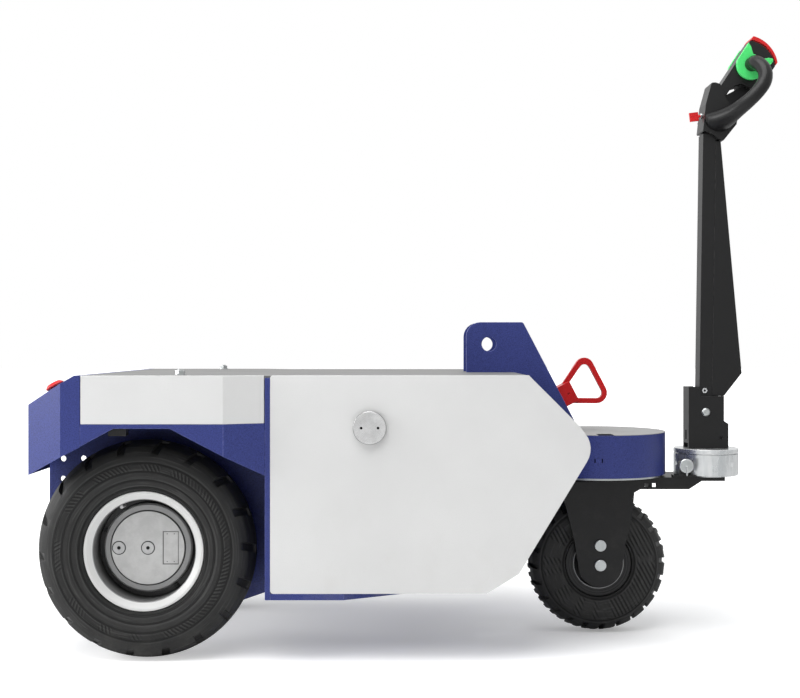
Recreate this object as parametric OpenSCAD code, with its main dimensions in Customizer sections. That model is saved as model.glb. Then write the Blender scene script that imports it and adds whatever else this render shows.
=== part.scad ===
// Pedestrian electric tow tractor: two driven wheels, one steered wheel, swivel tiller.
// Lengths are in millimetres. +X runs from the drive wheels to the tiller, +Z is up and the
// tractor is symmetric about Y = 0. The origin is on the floor under the middle of its length.
// "Left" is the +Y side, "right" is the -Y side.

/* [Chassis] */
// Drive axle to steering axis
wheelbase = 893; // [860:1:930]
// Drive axle to the rear faces of the fascia and the wheel-well plates
rear_reach = 209; // [190:1:230]
// Height of the deck above the floor
deck_h = 540; // [520:1:570]
// Height of the underside of the floor pan
floor_h = 124; // [112:1:134]
// Thickness of the floor pan
floor_t = 12; // [8:1:14]
// Thickness of the chassis plates
plate_t = 8; // [6:0.5:10]
// Thickness of the folded sheet covers and panels
sheet_t = 3; // [2:0.5:4]
// Thickness of the deck plate
deck_t = 5; // [4:0.5:8]
// Width over the battery panels
body_w = 632; // [610:1:650]
// Width over the wheel covers and arch skirts
cover_w = 696; // [680:1:716]
// Width over the two wheel-well plates
well_w = 320; // [300:1:330]
// Drive axle to the rear face of the bulkhead
bulkhead_ahead = 232; // [226:1:245]
// Thickness of the bulkhead
bulkhead_t = 10; // [8:1:12]
// Length of the floor pan that keeps the full width
floor_full_l = 136; // [120:1:160]
// Angle at which the floor pan narrows towards the steered wheel
floor_taper = 29; // [26:1:32]
// Floor pan nose, ahead of the bulkhead
floor_l = 420; // [400:1:430]

/* [Side panels] */
// Length of the straight top edge of a battery panel
panel_top_l = 478; // [460:1:500]
// Drop of the 45 degree nose chamfer
panel_chamfer = 93; // [80:1:105]
// Reach of the panel nose, ahead of the bulkhead
panel_nose_l = 602; // [590:1:615]
// Height of the foremost corner of the panel nose
panel_nose_h = 407; // [395:1:420]
// Lower end of the raked nose edge, ahead of the bulkhead
panel_rake_l = 460; // [445:1:475]
// Height of the lower end of the raked nose edge
panel_rake_h = 173; // [165:1:185]
// Length of the bottom edge of the panel
panel_bottom_l = 400; // [385:1:415]
// Rounding of the foremost corner of the panel
panel_nose_r = 46; // [30:1:55]
// Rounding of the rear corners of the panel
panel_corner_r = 6; // [3:1:12]
// Depth of the folded edge of the panel
panel_fold = 14; // [10:1:20]
// Diameter of the round panel lock
lock_d = 62; // [50:1:70]
// How far the panel lock stands proud
lock_h = 10; // [6:1:14]
// Panel lock, ahead of the bulkhead
lock_ahead = 184; // [160:1:210]
// Height of the panel lock
lock_z = 443; // [420:1:460]

/* [Rear end] */
// Height of the arch edge at the fascia bend
arch_low = 391; // [380:1:400]
// Height of the top of the wheel arch
arch_top = 443; // [436:1:447]
// Length of the flat top of the wheel arch
arch_flat = 103; // [90:1:115]
// Height of the lower edge of the wheel cover
cover_low = 451; // [449:1:460]
// Drop of the fascia top over its depth
fascia_drop = 55; // [45:1:62]
// Height of the fascia lower edge at its front
fascia_low = 354; // [345:1:365]
// Width of the fascia front face
fascia_w = 604; // [590:1:620]
// Height of the hitch bay that the fascia front leaves open
bay_top = 404; // [398:1:412]
// Diameter of the hitch holes in the wheel-well plates
hitch_d = 12; // [10:0.5:16]
// Pitch of the hitch holes
hitch_pitch = 40; // [36:1:44]
// Height of the upper row of hitch holes
hitch_z = 372; // [366:1:378]
// Diameter of the emergency stop button
estop_d = 36; // [32:1:42]

/* [Tow lug] */
// Distance between the outer faces of the two tow cheeks
cheek_w = 110; // [100:1:120]
// Height of the top of the tow cheeks
lug_top = 643; // [625:1:655]
// Rear edge of the tow lug, ahead of the bulkhead
lug_rear = 376; // [366:1:386]
// Length of the top edge of the tow lug
lug_l = 117; // [105:1:125]
// Rounding of the rear top corner of the lug
lug_r = 29; // [20:1:36]
// Diameter of the tow pin hole
pin_d = 30; // [24:1:34]
// Tow pin hole, ahead of the rear edge of the lug
pin_ahead = 47; // [40:1:55]
// Height of the tow pin hole
pin_z = 598; // [590:1:604]
// Slope of the front edge of the cheeks, measured from the vertical
slope_a = 27.6; // [25:0.1:30]

/* [Steering head] */
// Diameter of the steering head drum
head_d = 286; // [270:1:300]
// Height of the underside of the steering head drum
head_low = 330; // [326:1:336]
// Height of the top of the steering head
head_top = 417; // [405:1:425]
// Wall of the steering head drum
head_wall = 6; // [4:0.5:8]

/* [Drive wheels] */
// Distance between the centre planes of the drive wheels
track = 464; // [456:1:470]
// Diameter of the drive tyres
tyre_d = 416; // [406:1:420]
// Width of the drive tyres
tyre_w = 115; // [105:1:118]
// Diameter of the rim flange
rim_d = 226; // [216:1:232]
// Diameter of the bead seat
bead_d = 203; // [196:1:208]
// Shoulder lugs around one side of a drive tyre
tyre_lugs = 18; // [16:1:24]
// Diameter of the wheel hub
hub_d = 170; // [160:1:176]

/* [Steered wheel] */
// Diameter of the steered tyre
steer_d = 288; // [280:1:300]
// Width of the steered tyre
steer_w = 90; // [80:1:94]
// Lugs around one side of the steered tyre
steer_lugs = 24; // [20:1:30]
// Outer diameter of the steered rim
steer_rim_d = 135; // [125:1:142]
// Width over the fork cheeks
fork_w = 120; // [116:1:128]
// Diameter of the steered wheel's axle
axle_d = 20; // [16:1:24]

/* [Tiller] */
// Steering axis to the swivel axis of the tiller turret
turret_reach = 231; // [222:1:240]
// Diameter of the turret
turret_d = 133; // [124:1:138]
// Height of the top of the turret
turret_top = 381; // [378:1:390]
// Height of the tilt pivot above the top of the turret
pivot_rise = 75.5; // [68:0.5:80]
// Length of the tiller post above the tilt pivot
post_l = 580; // [540:1:620]
// Width of the tiller post
post_w = 39.4; // [36:0.1:42]
// Depth of the tiller post
post_depth = 26; // [24:0.5:30]
// Lean of the tiller post from the vertical
post_lean = 0.85; // [0:0.05:3]
// Tilt of the tiller head from the post
head_tilt = 32.5; // [28:0.5:38]
// Diameter of the handle grip
grip_d = 29; // [26:0.5:32]

/* [Hidden] */
// Seating gaps, running clearances and overrun
weld_gap = 0.1;
seat_gap = 0.3;
run_gap = 0.05;
over = 2;
corner_steps = 6;
$fn = 64;

// Stations along X
pivot_back = 5.7;
hub_out = 81.5;
hub_up = 145;
cap_centre_a = -12.5;
cap_centre_n = -7;
cap_r = 70;
cap_front_n = -28.5;
cap_rear_n = 43.5;
cap_rear_a = cap_centre_a + sqrt(cap_r * cap_r - pow(cap_rear_n - cap_centre_n, 2));
head_axis_a = head_tilt + post_lean;
hub_wx = hub_out * cos(post_lean) + (post_l - hub_root() + hub_up) * sin(post_lean);
tip_reach = hub_wx - pivot_back + cap_rear_a * sin(head_axis_a) + cap_rear_n * cos(head_axis_a);
axle_x = (rear_reach - wheelbase - turret_reach - tip_reach) / 2;
rear_x = axle_x - rear_reach;
steer_x = axle_x + wheelbase;
turret_x = steer_x + turret_reach;
bulkhead_x = axle_x + bulkhead_ahead;
body_x = bulkhead_x + bulkhead_t;
axle_z = tyre_d / 2;
steer_z = steer_d / 2;
pivot_x = turret_x - pivot_back;
pivot_z = turret_top + pivot_rise;
body_y = body_w / 2;
cover_y = cover_w / 2;
well_y = well_w / 2;
cheek_y = cheek_w / 2;
pan_top = floor_h + floor_t;

// The head is measured from the end of the post, a little below its top face
function hub_root() = 3;

// Unit vector of a 2D vector
function unit(v) = v / norm(v);

// Moves every side of a convex counter-clockwise outline inwards by d
function inset(p, d) = [
    for (i = [0 : len(p) - 1])
        let (
            a = p[(i + len(p) - 1) % len(p)],
            b = p[i],
            c = p[(i + 1) % len(p)],
            u = unit(b - a),
            v = unit(c - b),
            n1 = [-u[1], u[0]],
            n2 = [-v[1], v[0]]
        )
        b + (n1 + n2) * d / (1 + n1 * n2)
];

// Points of the arc that rounds corner b, between a and c, with radius r
function corner(a, b, c, r) =
    let (
        u = unit(a - b),
        v = unit(c - b),
        half = acos(max(-1, min(1, u * v))) / 2,
        m = b + unit(u + v) * r / sin(half),
        from = b + u * r / tan(half) - m,
        turn = 180 - 2 * half,
        way = cross(b - a, c - b) > 0 ? 1 : -1
    )
    [
        for (i = [0 : corner_steps])
            let (s = way * turn * i / corner_steps)
            m + [from[0] * cos(s) - from[1] * sin(s), from[0] * sin(s) + from[1] * cos(s)]
    ];

// Outline whose corners are [x, z, radius]; a corner without a radius stays sharp
function rounded(q) = [
    for (i = [0 : len(q) - 1])
        let (
            a = q[(i + len(q) - 1) % len(q)],
            b = q[i],
            c = q[(i + 1) % len(q)],
            ring = b[2] > 0
                ? corner([a[0], a[1]], [b[0], b[1]], [c[0], c[1]], b[2])
                : [[b[0], b[1]]]
        )
        each ring
];

// Extrudes an outline drawn in X and Z across the tractor, from y0 to y1
module across(y0, y1) {
    translate([0, y1, 0])
        rotate([90, 0, 0])
            linear_extrude(y1 - y0)
                children();
}

// A cylinder whose axis runs along Y, from y0 to y1
module rod_y(r, y0, y1) {
    translate([0, y1, 0])
        rotate([90, 0, 0])
            cylinder(r = r, h = y1 - y0);
}

// Turns a profile drawn as [radius, y] about the Y axis
module turned_y() {
    rotate([-90, 0, 0])
        rotate_extrude()
            children();
}

// Mirrors what is drawn on the left to the right side
module right_side() {
    mirror([0, 1, 0])
        children();
}

// Hexagonal head or nut, standing on the XY plane
module hexagon(flats, h) {
    cylinder(d = flats / cos(30), h = h, $fn = 6);
}

// Floor pan: a plate that keeps its width behind and narrows ahead
pan_nose_y = body_y - (floor_l - floor_full_l) * tan(floor_taper);
module floor_pan() {
    color([0.24, 0.27, 0.49])
        translate([body_x, 0, floor_h])
            linear_extrude(floor_t)
                polygon([
                    [0, -body_y],
                    [floor_full_l, -body_y],
                    [floor_l, -pan_nose_y],
                    [floor_l, pan_nose_y],
                    [floor_full_l, body_y],
                    [0, body_y]
                ]);
}

// Bulkhead: the cross plate between the wheel wells and the battery bay
module bulkhead() {
    color([0.24, 0.27, 0.49])
        translate([bulkhead_x, -body_y, floor_h])
            cube([bulkhead_t, body_w, deck_h - deck_t - floor_h]);
}

// Wheel-well plates: they carry the drive units and the rows of hitch holes
well_low = 93;
well_rise = 15;
well_rise_back = 17;
well_bend_back = 60;
well_front_low = 157;
motor_r = 62;
motor_hole_gap = 1;
hitch_edge = 26.6;
function well_outline() = [
    [rear_x, well_low + well_front_low],
    [rear_x + well_front_low, well_low],
    [bulkhead_x - well_bend_back, well_low],
    [bulkhead_x - well_rise_back, well_low + well_rise],
    [bulkhead_x, well_low + well_rise],
    [bulkhead_x, deck_h - deck_t],
    [rear_x + fascia_depth, deck_h - deck_t],
    [rear_x + sheet_t + seat_gap, well_top_rear],
    [rear_x + sheet_t + seat_gap, bay_top - seat_gap],
    [rear_x, bay_top - seat_gap]
];
module well_plate() {
    color([0.24, 0.27, 0.49])
        difference() {
            across(well_y - plate_t, well_y)
                polygon(well_outline());
            translate([axle_x, 0, axle_z])
                rod_y(motor_r + motor_hole_gap, well_y - plate_t - over, well_y + over);
            for (spot = [[0, 0], [1, 0], [0, 1], [1, 1]])
                translate([rear_x + hitch_edge + spot[0] * hitch_pitch, 0, hitch_z - spot[1] * hitch_pitch])
                    rod_y(hitch_d / 2, well_y - plate_t - over, well_y + over);
        }
}
module well_plate_left() {
    well_plate();
}
module well_plate_right() {
    right_side() well_plate();
}

// Fascia: one folded sheet with a sloped top, bevelled corners and an open underside
fascia_depth = 97;
fascia_side = 71.6;
cover_start = 107.4;
fascia_slope = fascia_drop / fascia_depth;
well_top_rear = deck_h - fascia_drop - sheet_t - seat_gap;
bay_half = well_y + plate_t;
estop_back = 43;
estop_y = 258;
estop_hole_r = 12;
// Height of the sloped top at the distance d ahead of the rear face
function fascia_z(d) = deck_h - fascia_drop + d * fascia_slope;
module fascia_block(t) {
    intersection() {
        linear_extrude(deck_h + over)
            polygon([
                [rear_x + t, -fascia_w / 2 + t],
                [rear_x + fascia_side, -cover_y + t],
                [rear_x + cover_start + (t > 0 ? over : 0), -cover_y + t],
                [rear_x + cover_start + (t > 0 ? over : 0), cover_y - t],
                [rear_x + fascia_side, cover_y - t],
                [rear_x + t, fascia_w / 2 - t]
            ]);
        across(-cover_y, cover_y)
            polygon([
                [rear_x, fascia_low - (t > 0 ? over : 0)],
                [rear_x + fascia_side, arch_low - (t > 0 ? over : 0)],
                [rear_x + cover_start + over, arch_low + arch_step - (t > 0 ? over : 0)],
                [rear_x + cover_start + over, deck_h - t],
                [rear_x + fascia_depth, deck_h - t],
                [rear_x, fascia_z(0) - t]
            ]);
    }
}
arch_run = 96.4;
arch_step = (cover_start - fascia_side) * (arch_top - arch_low) / arch_run;
module fascia() {
    color([0.24, 0.27, 0.49])
        difference() {
            fascia_block(0);
            fascia_block(sheet_t);
            translate([rear_x - over, -bay_half, fascia_low - over])
                cube([sheet_t + over + over, 2 * bay_half, bay_top - fascia_low + over]);
            translate([rear_x + estop_back, -estop_y, fascia_z(estop_back)])
                rotate([0, -atan(fascia_slope), 0])
                    cylinder(r = estop_hole_r, h = 2 * estop_d, center = true);
        }
}

// Arch skirts: side plates under the wheel covers, cut out over the wheels and bent inwards
skirt_bend = 368.6;
skirt_step = 0.5;
skirt_end_y = body_y - skirt_step;
arch_end_z = 354;
arch_rise_x = 168;
function skirt_x(d) = rear_x + d;
module skirt_band(z0, z1, inner) {
    translate([0, 0, z0])
        linear_extrude(z1 - z0)
            polygon([
                [skirt_x(cover_start), cover_y],
                [skirt_x(cover_start), cover_y - inner],
                [skirt_x(skirt_bend) - inner / 2, cover_y - inner],
                [bulkhead_x, skirt_end_y - inner],
                [bulkhead_x, skirt_end_y],
                [skirt_x(skirt_bend), cover_y]
            ]);
}
module arch_skirt() {
    color([0.24, 0.27, 0.49])
        intersection() {
            skirt_band(arch_end_z, cover_low, plate_t / 2);
            across(0, cover_y + body_y)
                polygon([
                    [skirt_x(cover_start), arch_low + arch_step],
                    [skirt_x(arch_rise_x), arch_top],
                    [skirt_x(arch_rise_x + arch_flat), arch_top],
                    [bulkhead_x, arch_end_z],
                    [bulkhead_x, cover_low],
                    [skirt_x(cover_start), cover_low]
                ]);
        }
}
module arch_skirt_left() {
    arch_skirt();
}
module arch_skirt_right() {
    right_side() arch_skirt();
}

// Wheel covers: folded sheet skins between the arch skirts and the deck
cover_gap = 1.2;
module wheel_cover() {
    color([0.87, 0.87, 0.86])
        difference() {
            translate([0, 0, cover_low + seat_gap])
                linear_extrude(deck_h - cover_low - seat_gap)
                    difference() {
                        polygon(cover_plan(0));
                        polygon(cover_plan(sheet_t));
                    }
            translate([0, 0, deck_h - deck_t - seat_gap])
                linear_extrude(2 * deck_t)
                    polygon([
                        [rear_x, 0],
                        [rear_x, cover_y - sheet_t],
                        [skirt_x(skirt_bend), cover_y - sheet_t],
                        [bulkhead_x, skirt_end_y - sheet_t],
                        [bulkhead_x, 0]
                    ]);
        }
}
cover_return = 18;
// Plan of the cover: its outer line, or the line that leaves a wall of t and two end returns
function cover_plan(t) = [
    [skirt_x(cover_start) + cover_gap + t, cover_y - t],
    [skirt_x(cover_start) + cover_gap + t, cover_y - cover_return - t * over],
    [skirt_x(skirt_bend), cover_y - cover_return - t * over],
    [bulkhead_x - cover_gap - t, skirt_end_y - cover_return - t * over],
    [bulkhead_x - cover_gap - t, skirt_end_y - t],
    [skirt_x(skirt_bend), cover_y - t]
];
module wheel_cover_left() {
    wheel_cover();
}
module wheel_cover_right() {
    right_side() wheel_cover();
}

// Cover brackets: black angles inside the covers, seen at the top of each wheel arch
bracket_back = 158;
bracket_l = 33;
bracket_low = 429.5;
bracket_in = 22;
module cover_bracket() {
    translate([skirt_x(bracket_back), cover_y - plate_t / 2 - bracket_in, bracket_low])
        cube([bracket_l, bracket_in, deck_h - deck_t - bracket_low]);
}
module cover_brackets() {
    color([0.12, 0.12, 0.13]) {
        cover_bracket();
        right_side() cover_bracket();
    }
}

// Deck plate: one sheet over the wheel bay and the battery bay, slotted for the tow cheeks
slot_gap = 1;
deck_start = 107.7;
module deck_plate() {
    color([0.66, 0.66, 0.65])
        translate([0, 0, deck_h - deck_t])
            linear_extrude(deck_t)
                difference() {
                    polygon(deck_plan());
                    for (s = [-1, 1])
                        translate([
                            body_x + lug_rear - slot_gap,
                            s * (cheek_y - plate_t / 2) - plate_t / 2 - slot_gap
                        ])
                            square([panel_top_l - lug_rear + over, plate_t + 2 * slot_gap]);
                }
}
function deck_plan() =
    let (
        half = [
            [rear_x + deck_start, cover_y - sheet_t - seat_gap],
            [skirt_x(skirt_bend), cover_y - sheet_t - seat_gap],
            [bulkhead_x - cover_gap, skirt_end_y - sheet_t - seat_gap],
            [body_x + panel_top_l - sheet_t, body_y - sheet_t - seat_gap]
        ],
        other = [for (i = [len(half) - 1 : -1 : 0]) [half[i][0], -half[i][1]]]
    )
    concat(half, other);

// Deck bolts: two hexagon bolts on washers, one over each wheel
deck_bolt_ahead = 71;
deck_bolt_y = 288;
deck_bolt_flats = 17;
deck_bolt_h = 8.5;
washer_d = 21;
washer_t = 2;
module deck_bolts() {
    color([0.72, 0.74, 0.75])
        for (s = [-1, 1])
            translate([axle_x + deck_bolt_ahead, s * deck_bolt_y, deck_h]) {
                cylinder(d = washer_d, h = washer_t);
                translate([0, 0, washer_t])
                    hexagon(deck_bolt_flats, deck_bolt_h);
            }
}

// Battery side panels: shallow folded trays with the raked nose
function panel_outline() = rounded([
    [body_x, pan_top, panel_corner_r],
    [body_x + panel_bottom_l, pan_top, 0],
    [body_x + panel_rake_l, panel_rake_h, 0],
    [body_x + panel_nose_l, panel_nose_h, panel_nose_r],
    [body_x + panel_top_l + panel_chamfer, deck_h - panel_chamfer, 0],
    [body_x + panel_top_l, deck_h, 0],
    [body_x, deck_h, panel_corner_r]
]);
module side_panel() {
    color([0.88, 0.88, 0.87])
        difference() {
            across(body_y - panel_fold, body_y)
                polygon(panel_outline());
            across(body_y - panel_fold - over, body_y - sheet_t)
                polygon(inset(panel_outline(), sheet_t));
            translate([body_x - over, body_y - panel_fold - over, deck_h - deck_t - seat_gap])
                cube([panel_top_l + 2 * over, panel_fold + over - sheet_t, deck_t + over]);
        }
}
module side_panel_left() {
    side_panel();
}
module side_panel_right() {
    right_side() side_panel();
}

// Panel locks: turned aluminium discs with two spanner holes
lock_hole_r = 2.4;
lock_hole_x = 15.5;
lock_hole_deep = 5;
lock_edge = 1.2;
module panel_lock() {
    translate([body_x + lock_ahead, body_y, lock_z])
        difference() {
            turned_y()
                polygon([
                    [0, 0],
                    [lock_d / 2, 0],
                    [lock_d / 2, lock_h - lock_edge],
                    [lock_d / 2 - lock_edge, lock_h],
                    [0, lock_h]
                ]);
            for (s = [-1, 1])
                translate([s * lock_hole_x, 0, 0])
                    rod_y(lock_hole_r, lock_h - lock_hole_deep, lock_h + over);
        }
}
module panel_locks() {
    color([0.76, 0.77, 0.78]) {
        panel_lock();
        right_side() panel_lock();
    }
}

// Tow cheeks: long plates that stand on the floor pan, form the lug and end on the steering head
lug_front_r = 6;
cheek_low_rise = 46;
slope_top_x = body_x + lug_rear + lug_l;
function slope_x(z) = slope_top_x + (lug_top - z) * tan(slope_a);
module tow_cheek() {
    color([0.24, 0.27, 0.49])
        difference() {
            across(cheek_y - plate_t, cheek_y)
                polygon(rounded([
                    [body_x + lug_rear, pan_top, 0],
                    [body_x + floor_l, pan_top, 0],
                    [steer_x - steer_swing, pan_top + cheek_low_rise, 0],
                    [steer_x - steer_swing, head_low - cheek_low_rise, 0],
                    [steer_x - head_d / 4, head_low, 0],
                    [steer_x - head_d / 4, head_top, 0],
                    [slope_x(head_top), head_top, 0],
                    [slope_top_x, lug_top, lug_front_r],
                    [body_x + lug_rear, lug_top, lug_r]
                ]));
            translate([steer_x, 0, head_low - head_d])
                cylinder(d = head_d + 2 * weld_gap, h = head_d + head_top - head_low, $fn = 96);
            translate([body_x + lug_rear + pin_ahead, 0, pin_z])
                rod_y(pin_d / 2, cheek_y - plate_t - over, cheek_y + over);
        }
}
steer_swing = sqrt(steer_z * steer_z + fork_w * fork_w / 4) + 8 * over;
module tow_cheek_left() {
    tow_cheek();
}
module tow_cheek_right() {
    right_side() tow_cheek();
}

// Nose plate: the sloped plate between the tow cheeks, cut for the power connector
nose_top = 541;
nose_set_back = 3;
plug_up = 486.5;
plug_l = 44.6;
plug_w = 52;
socket_gap = 1;
module on_slope(z) {
    translate([slope_x(z), 0, z])
        rotate([0, -slope_a, 0])
            children();
}
module nose_plate() {
    color([0.24, 0.27, 0.49])
        difference() {
            across(-(cheek_y - plate_t), cheek_y - plate_t)
                polygon([
                    [slope_x(head_top) - nose_set_back - plate_t, head_top + weld_gap],
                    [slope_x(head_top) - nose_set_back, head_top + weld_gap],
                    [slope_x(nose_top) - nose_set_back, nose_top],
                    [slope_x(nose_top) - nose_set_back - plate_t, nose_top]
                ]);
            on_slope(plug_up)
                translate([-plug_l, -plug_w / 2 - socket_gap, -plug_l / 2 - socket_gap])
                    cube([2 * plug_l, plug_w + 2 * socket_gap, plug_l + 2 * socket_gap]);
        }
}

// Connector socket: the fixed half of the battery connector behind the nose plate
socket_deep = 52;
contact_r = 7;
contact_deep = 30;
contact_y = 14;
socket_lip = 8;
socket_back = (nose_set_back + plate_t) * cos(slope_a) + weld_gap;
module connector_socket() {
    color([0.55, 0.08, 0.08])
        on_slope(plug_up)
            difference() {
                union() {
                    translate([-socket_deep - seat_gap, -plug_w / 2, -plug_l / 2])
                        cube([socket_deep, plug_w, plug_l]);
                    translate([-socket_back - sheet_t, -plug_w / 2 - socket_lip, -plug_l / 2 - socket_lip])
                        cube([sheet_t, plug_w + 2 * socket_lip, plug_l + 2 * socket_lip]);
                }
                for (s = [-1, 1])
                    translate([-contact_deep - seat_gap, s * contact_y, 0])
                        rotate([0, 90, 0])
                            cylinder(r = contact_r, h = contact_deep + over);
            }
}

// Steering head: a drum with a bottom ring, and a cover sheet with a cable cut-out at its edge
head_r = head_d / 2;
head_bottom_r = 70;
head_cover_t = 1.5;
notch_w = 32;
notch_deep = 42;
notch_back = 17;
tick_w = 2.4;
tick_h = 8.5;
tick_z = 365.7;
tick_back_shares = [-0.164, -0.064];
module head_drum() {
    color([0.24, 0.27, 0.49])
        difference() {
            translate([steer_x, 0, head_low])
                rotate_extrude($fn = 96)
                    polygon([
                        [head_bottom_r, 0],
                        [head_r, 0],
                        [head_r, head_top - head_low - head_cover_t],
                        [head_r - head_wall, head_top - head_low - head_cover_t],
                        [head_r - head_wall, plate_t],
                        [head_bottom_r, plate_t]
                    ]);
            for (t = tick_back_shares)
                translate([steer_x + t * head_r - tick_w / 2, -head_r - over, tick_z - tick_h / 2])
                    cube([tick_w, head_r / 2, tick_h]);
        }
}
module head_cover() {
    color([0.70, 0.70, 0.69])
        difference() {
            translate([steer_x, 0, head_top - head_cover_t])
                cylinder(r = head_r, h = head_cover_t, $fn = 96);
            translate([steer_x - notch_back, -head_r - over, head_top - head_cover_t - over])
                cube([notch_w, notch_deep + over, head_cover_t + 2 * over]);
        }
}

// Slew ring: the fixed race under the drum and the turning race on the fork
race_r = 138;
race_in_r = 92;
race_low = 326;
race_gap = 0.3;
fork_top = 324.3;
module slew_ring() {
    color([0.75, 0.75, 0.76])
        translate([steer_x, 0, race_low])
            difference() {
                cylinder(r = race_r, h = head_low - race_low, $fn = 96);
                translate([0, 0, -over])
                    cylinder(r = race_in_r, h = head_low - race_low + 2 * over, $fn = 96);
            }
}
inner_race_r = 60;
module inner_race() {
    color([0.6, 0.6, 0.62])
        translate([steer_x, 0, fork_top])
            difference() {
                cylinder(r = race_in_r - run_gap, h = head_low - fork_top - race_gap, $fn = 96);
                translate([0, 0, -over])
                    cylinder(r = inner_race_r, h = head_low - fork_top + 2 * over, $fn = 96);
            }
}

// Nose covers: folded sheets behind the panel noses, each with the wall that closes the battery bay
pod_in_y = 162;
nose_lap = 4;
nose_wall_in = 12;
module nose_cover() {
    color([0.24, 0.27, 0.49])
        difference() {
            intersection() {
                across(pod_in_y, body_y - panel_fold - seat_gap)
                    polygon(inset(panel_outline(), sheet_t + nose_lap));
                translate([body_x + panel_bottom_l - panel_chamfer, 0, pan_top])
                    cube([panel_nose_l, body_y, deck_h - deck_t - pan_top - seat_gap]);
            }
            across(pod_in_y + sheet_t, body_y)
                polygon(inset(panel_outline(), 2 * sheet_t + nose_lap));
        }
    color([0.24, 0.27, 0.49])
        translate([body_x + floor_l - nose_wall_in, cheek_y + seat_gap, pan_top + seat_gap])
            cube([sheet_t, pod_in_y + sheet_t - cheek_y - seat_gap, deck_h - deck_t - pan_top - 2 * seat_gap]);
}
module nose_cover_left() {
    nose_cover();
}
module nose_cover_right() {
    right_side() nose_cover();
}

// Batteries: two blocks with terminal posts, one on each side of the cheeks
battery_l = 260;
battery_w = 170;
battery_h = 224;
battery_edge = 14;
battery_lid = 18;
terminal_r = 8;
terminal_h = 14;
terminal_in = 30;
module battery() {
    translate([body_x + battery_edge, cheek_y + battery_edge, pan_top]) {
        cube([battery_l, battery_w, battery_h - battery_lid]);
        translate([lock_edge, lock_edge, battery_h - battery_lid])
            cube([battery_l - 2 * lock_edge, battery_w - 2 * lock_edge, battery_lid]);
        for (x = [terminal_in, battery_l - terminal_in])
            translate([x, battery_w - terminal_in, battery_h])
                cylinder(r = terminal_r, h = terminal_h);
    }
}
module batteries() {
    color([0.16, 0.17, 0.19]) {
        battery();
        right_side() battery();
    }
}

// Motor controller: a finned box on the bulkhead above the batteries
controller_w = 200;
controller_h = 120;
controller_d = 64;
controller_z = 400;
fin_n = 9;
fin_deep = 14;
fin_share = 0.45;
module motor_controller() {
    color([0.35, 0.36, 0.38])
        translate([body_x, -controller_w / 2, controller_z])
            difference() {
                cube([controller_d, controller_w, controller_h]);
                for (i = [0 : fin_n - 1])
                    translate([
                        controller_d - fin_deep,
                        (i + (1 - fin_share)) * controller_w / (fin_n + 1),
                        -over
                    ])
                        cube([fin_deep + over, fin_share * controller_w / (fin_n + 1), controller_h + 2 * over]);
            }
}

// Drive units: gear housing outside the well plate, spindle for the hub, motor inside
gear_r = 76;
gear_out = 38.7;
spindle_r = 30;
spindle_l = 24;
motor_l = 92;
brake_r = 48;
brake_l = 26;
module drive_unit() {
    color([0.28, 0.29, 0.30])
        translate([axle_x, 0, axle_z]) {
            rod_y(gear_r, well_y, well_y + gear_out);
            rod_y(spindle_r, well_y + gear_out, well_y + gear_out + spindle_l);
            rod_y(motor_r, well_y - plate_t - motor_l, well_y);
            rod_y(brake_r, well_y - plate_t - motor_l - brake_l, well_y - plate_t - motor_l);
        }
}
module drive_unit_left() {
    drive_unit();
}
module drive_unit_right() {
    right_side() drive_unit();
}

// Emergency stop: contact block and collar under the sloped fascia, red mushroom above it
estop_collar_r = 15;
estop_collar_h = 4;
estop_block = 30;
estop_stem_r = 8;
estop_gap = 4;
estop_cap_h = 9;
module on_fascia() {
    translate([rear_x + estop_back, -estop_y, fascia_z(estop_back)])
        rotate([0, -atan(fascia_slope), 0])
            children();
}
module estop_base() {
    color([0.15, 0.15, 0.16])
        on_fascia()
            difference() {
                union() {
                    cylinder(r = estop_collar_r, h = estop_collar_h);
                    translate([0, 0, -estop_block])
                        cylinder(r = estop_hole_r - run_gap, h = estop_block);
                    translate([0, 0, -estop_block])
                        cylinder(r = estop_collar_r, h = estop_block - sheet_t - seat_gap);
                }
                translate([0, 0, -estop_block + estop_stem_r])
                    cylinder(r = estop_stem_r + run_gap, h = 2 * estop_block);
            }
}
module estop_button() {
    color([0.78, 0.10, 0.10])
        on_fascia() {
            translate([0, 0, estop_gap - estop_block / 2])
                cylinder(r = estop_stem_r, h = estop_block / 2 + estop_gap);
            translate([0, 0, estop_collar_h + estop_gap])
                rotate_extrude()
                    polygon([
                        [0, 0],
                        [estop_d / 2 - estop_gap / 2, 0],
                        [estop_d / 2, estop_gap / 2],
                        [estop_d / 2, estop_gap],
                        [estop_d * estop_crown_share, estop_cap_h],
                        [0, estop_cap_h]
                    ]);
        }
}
estop_crown_share = 0.34;

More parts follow.
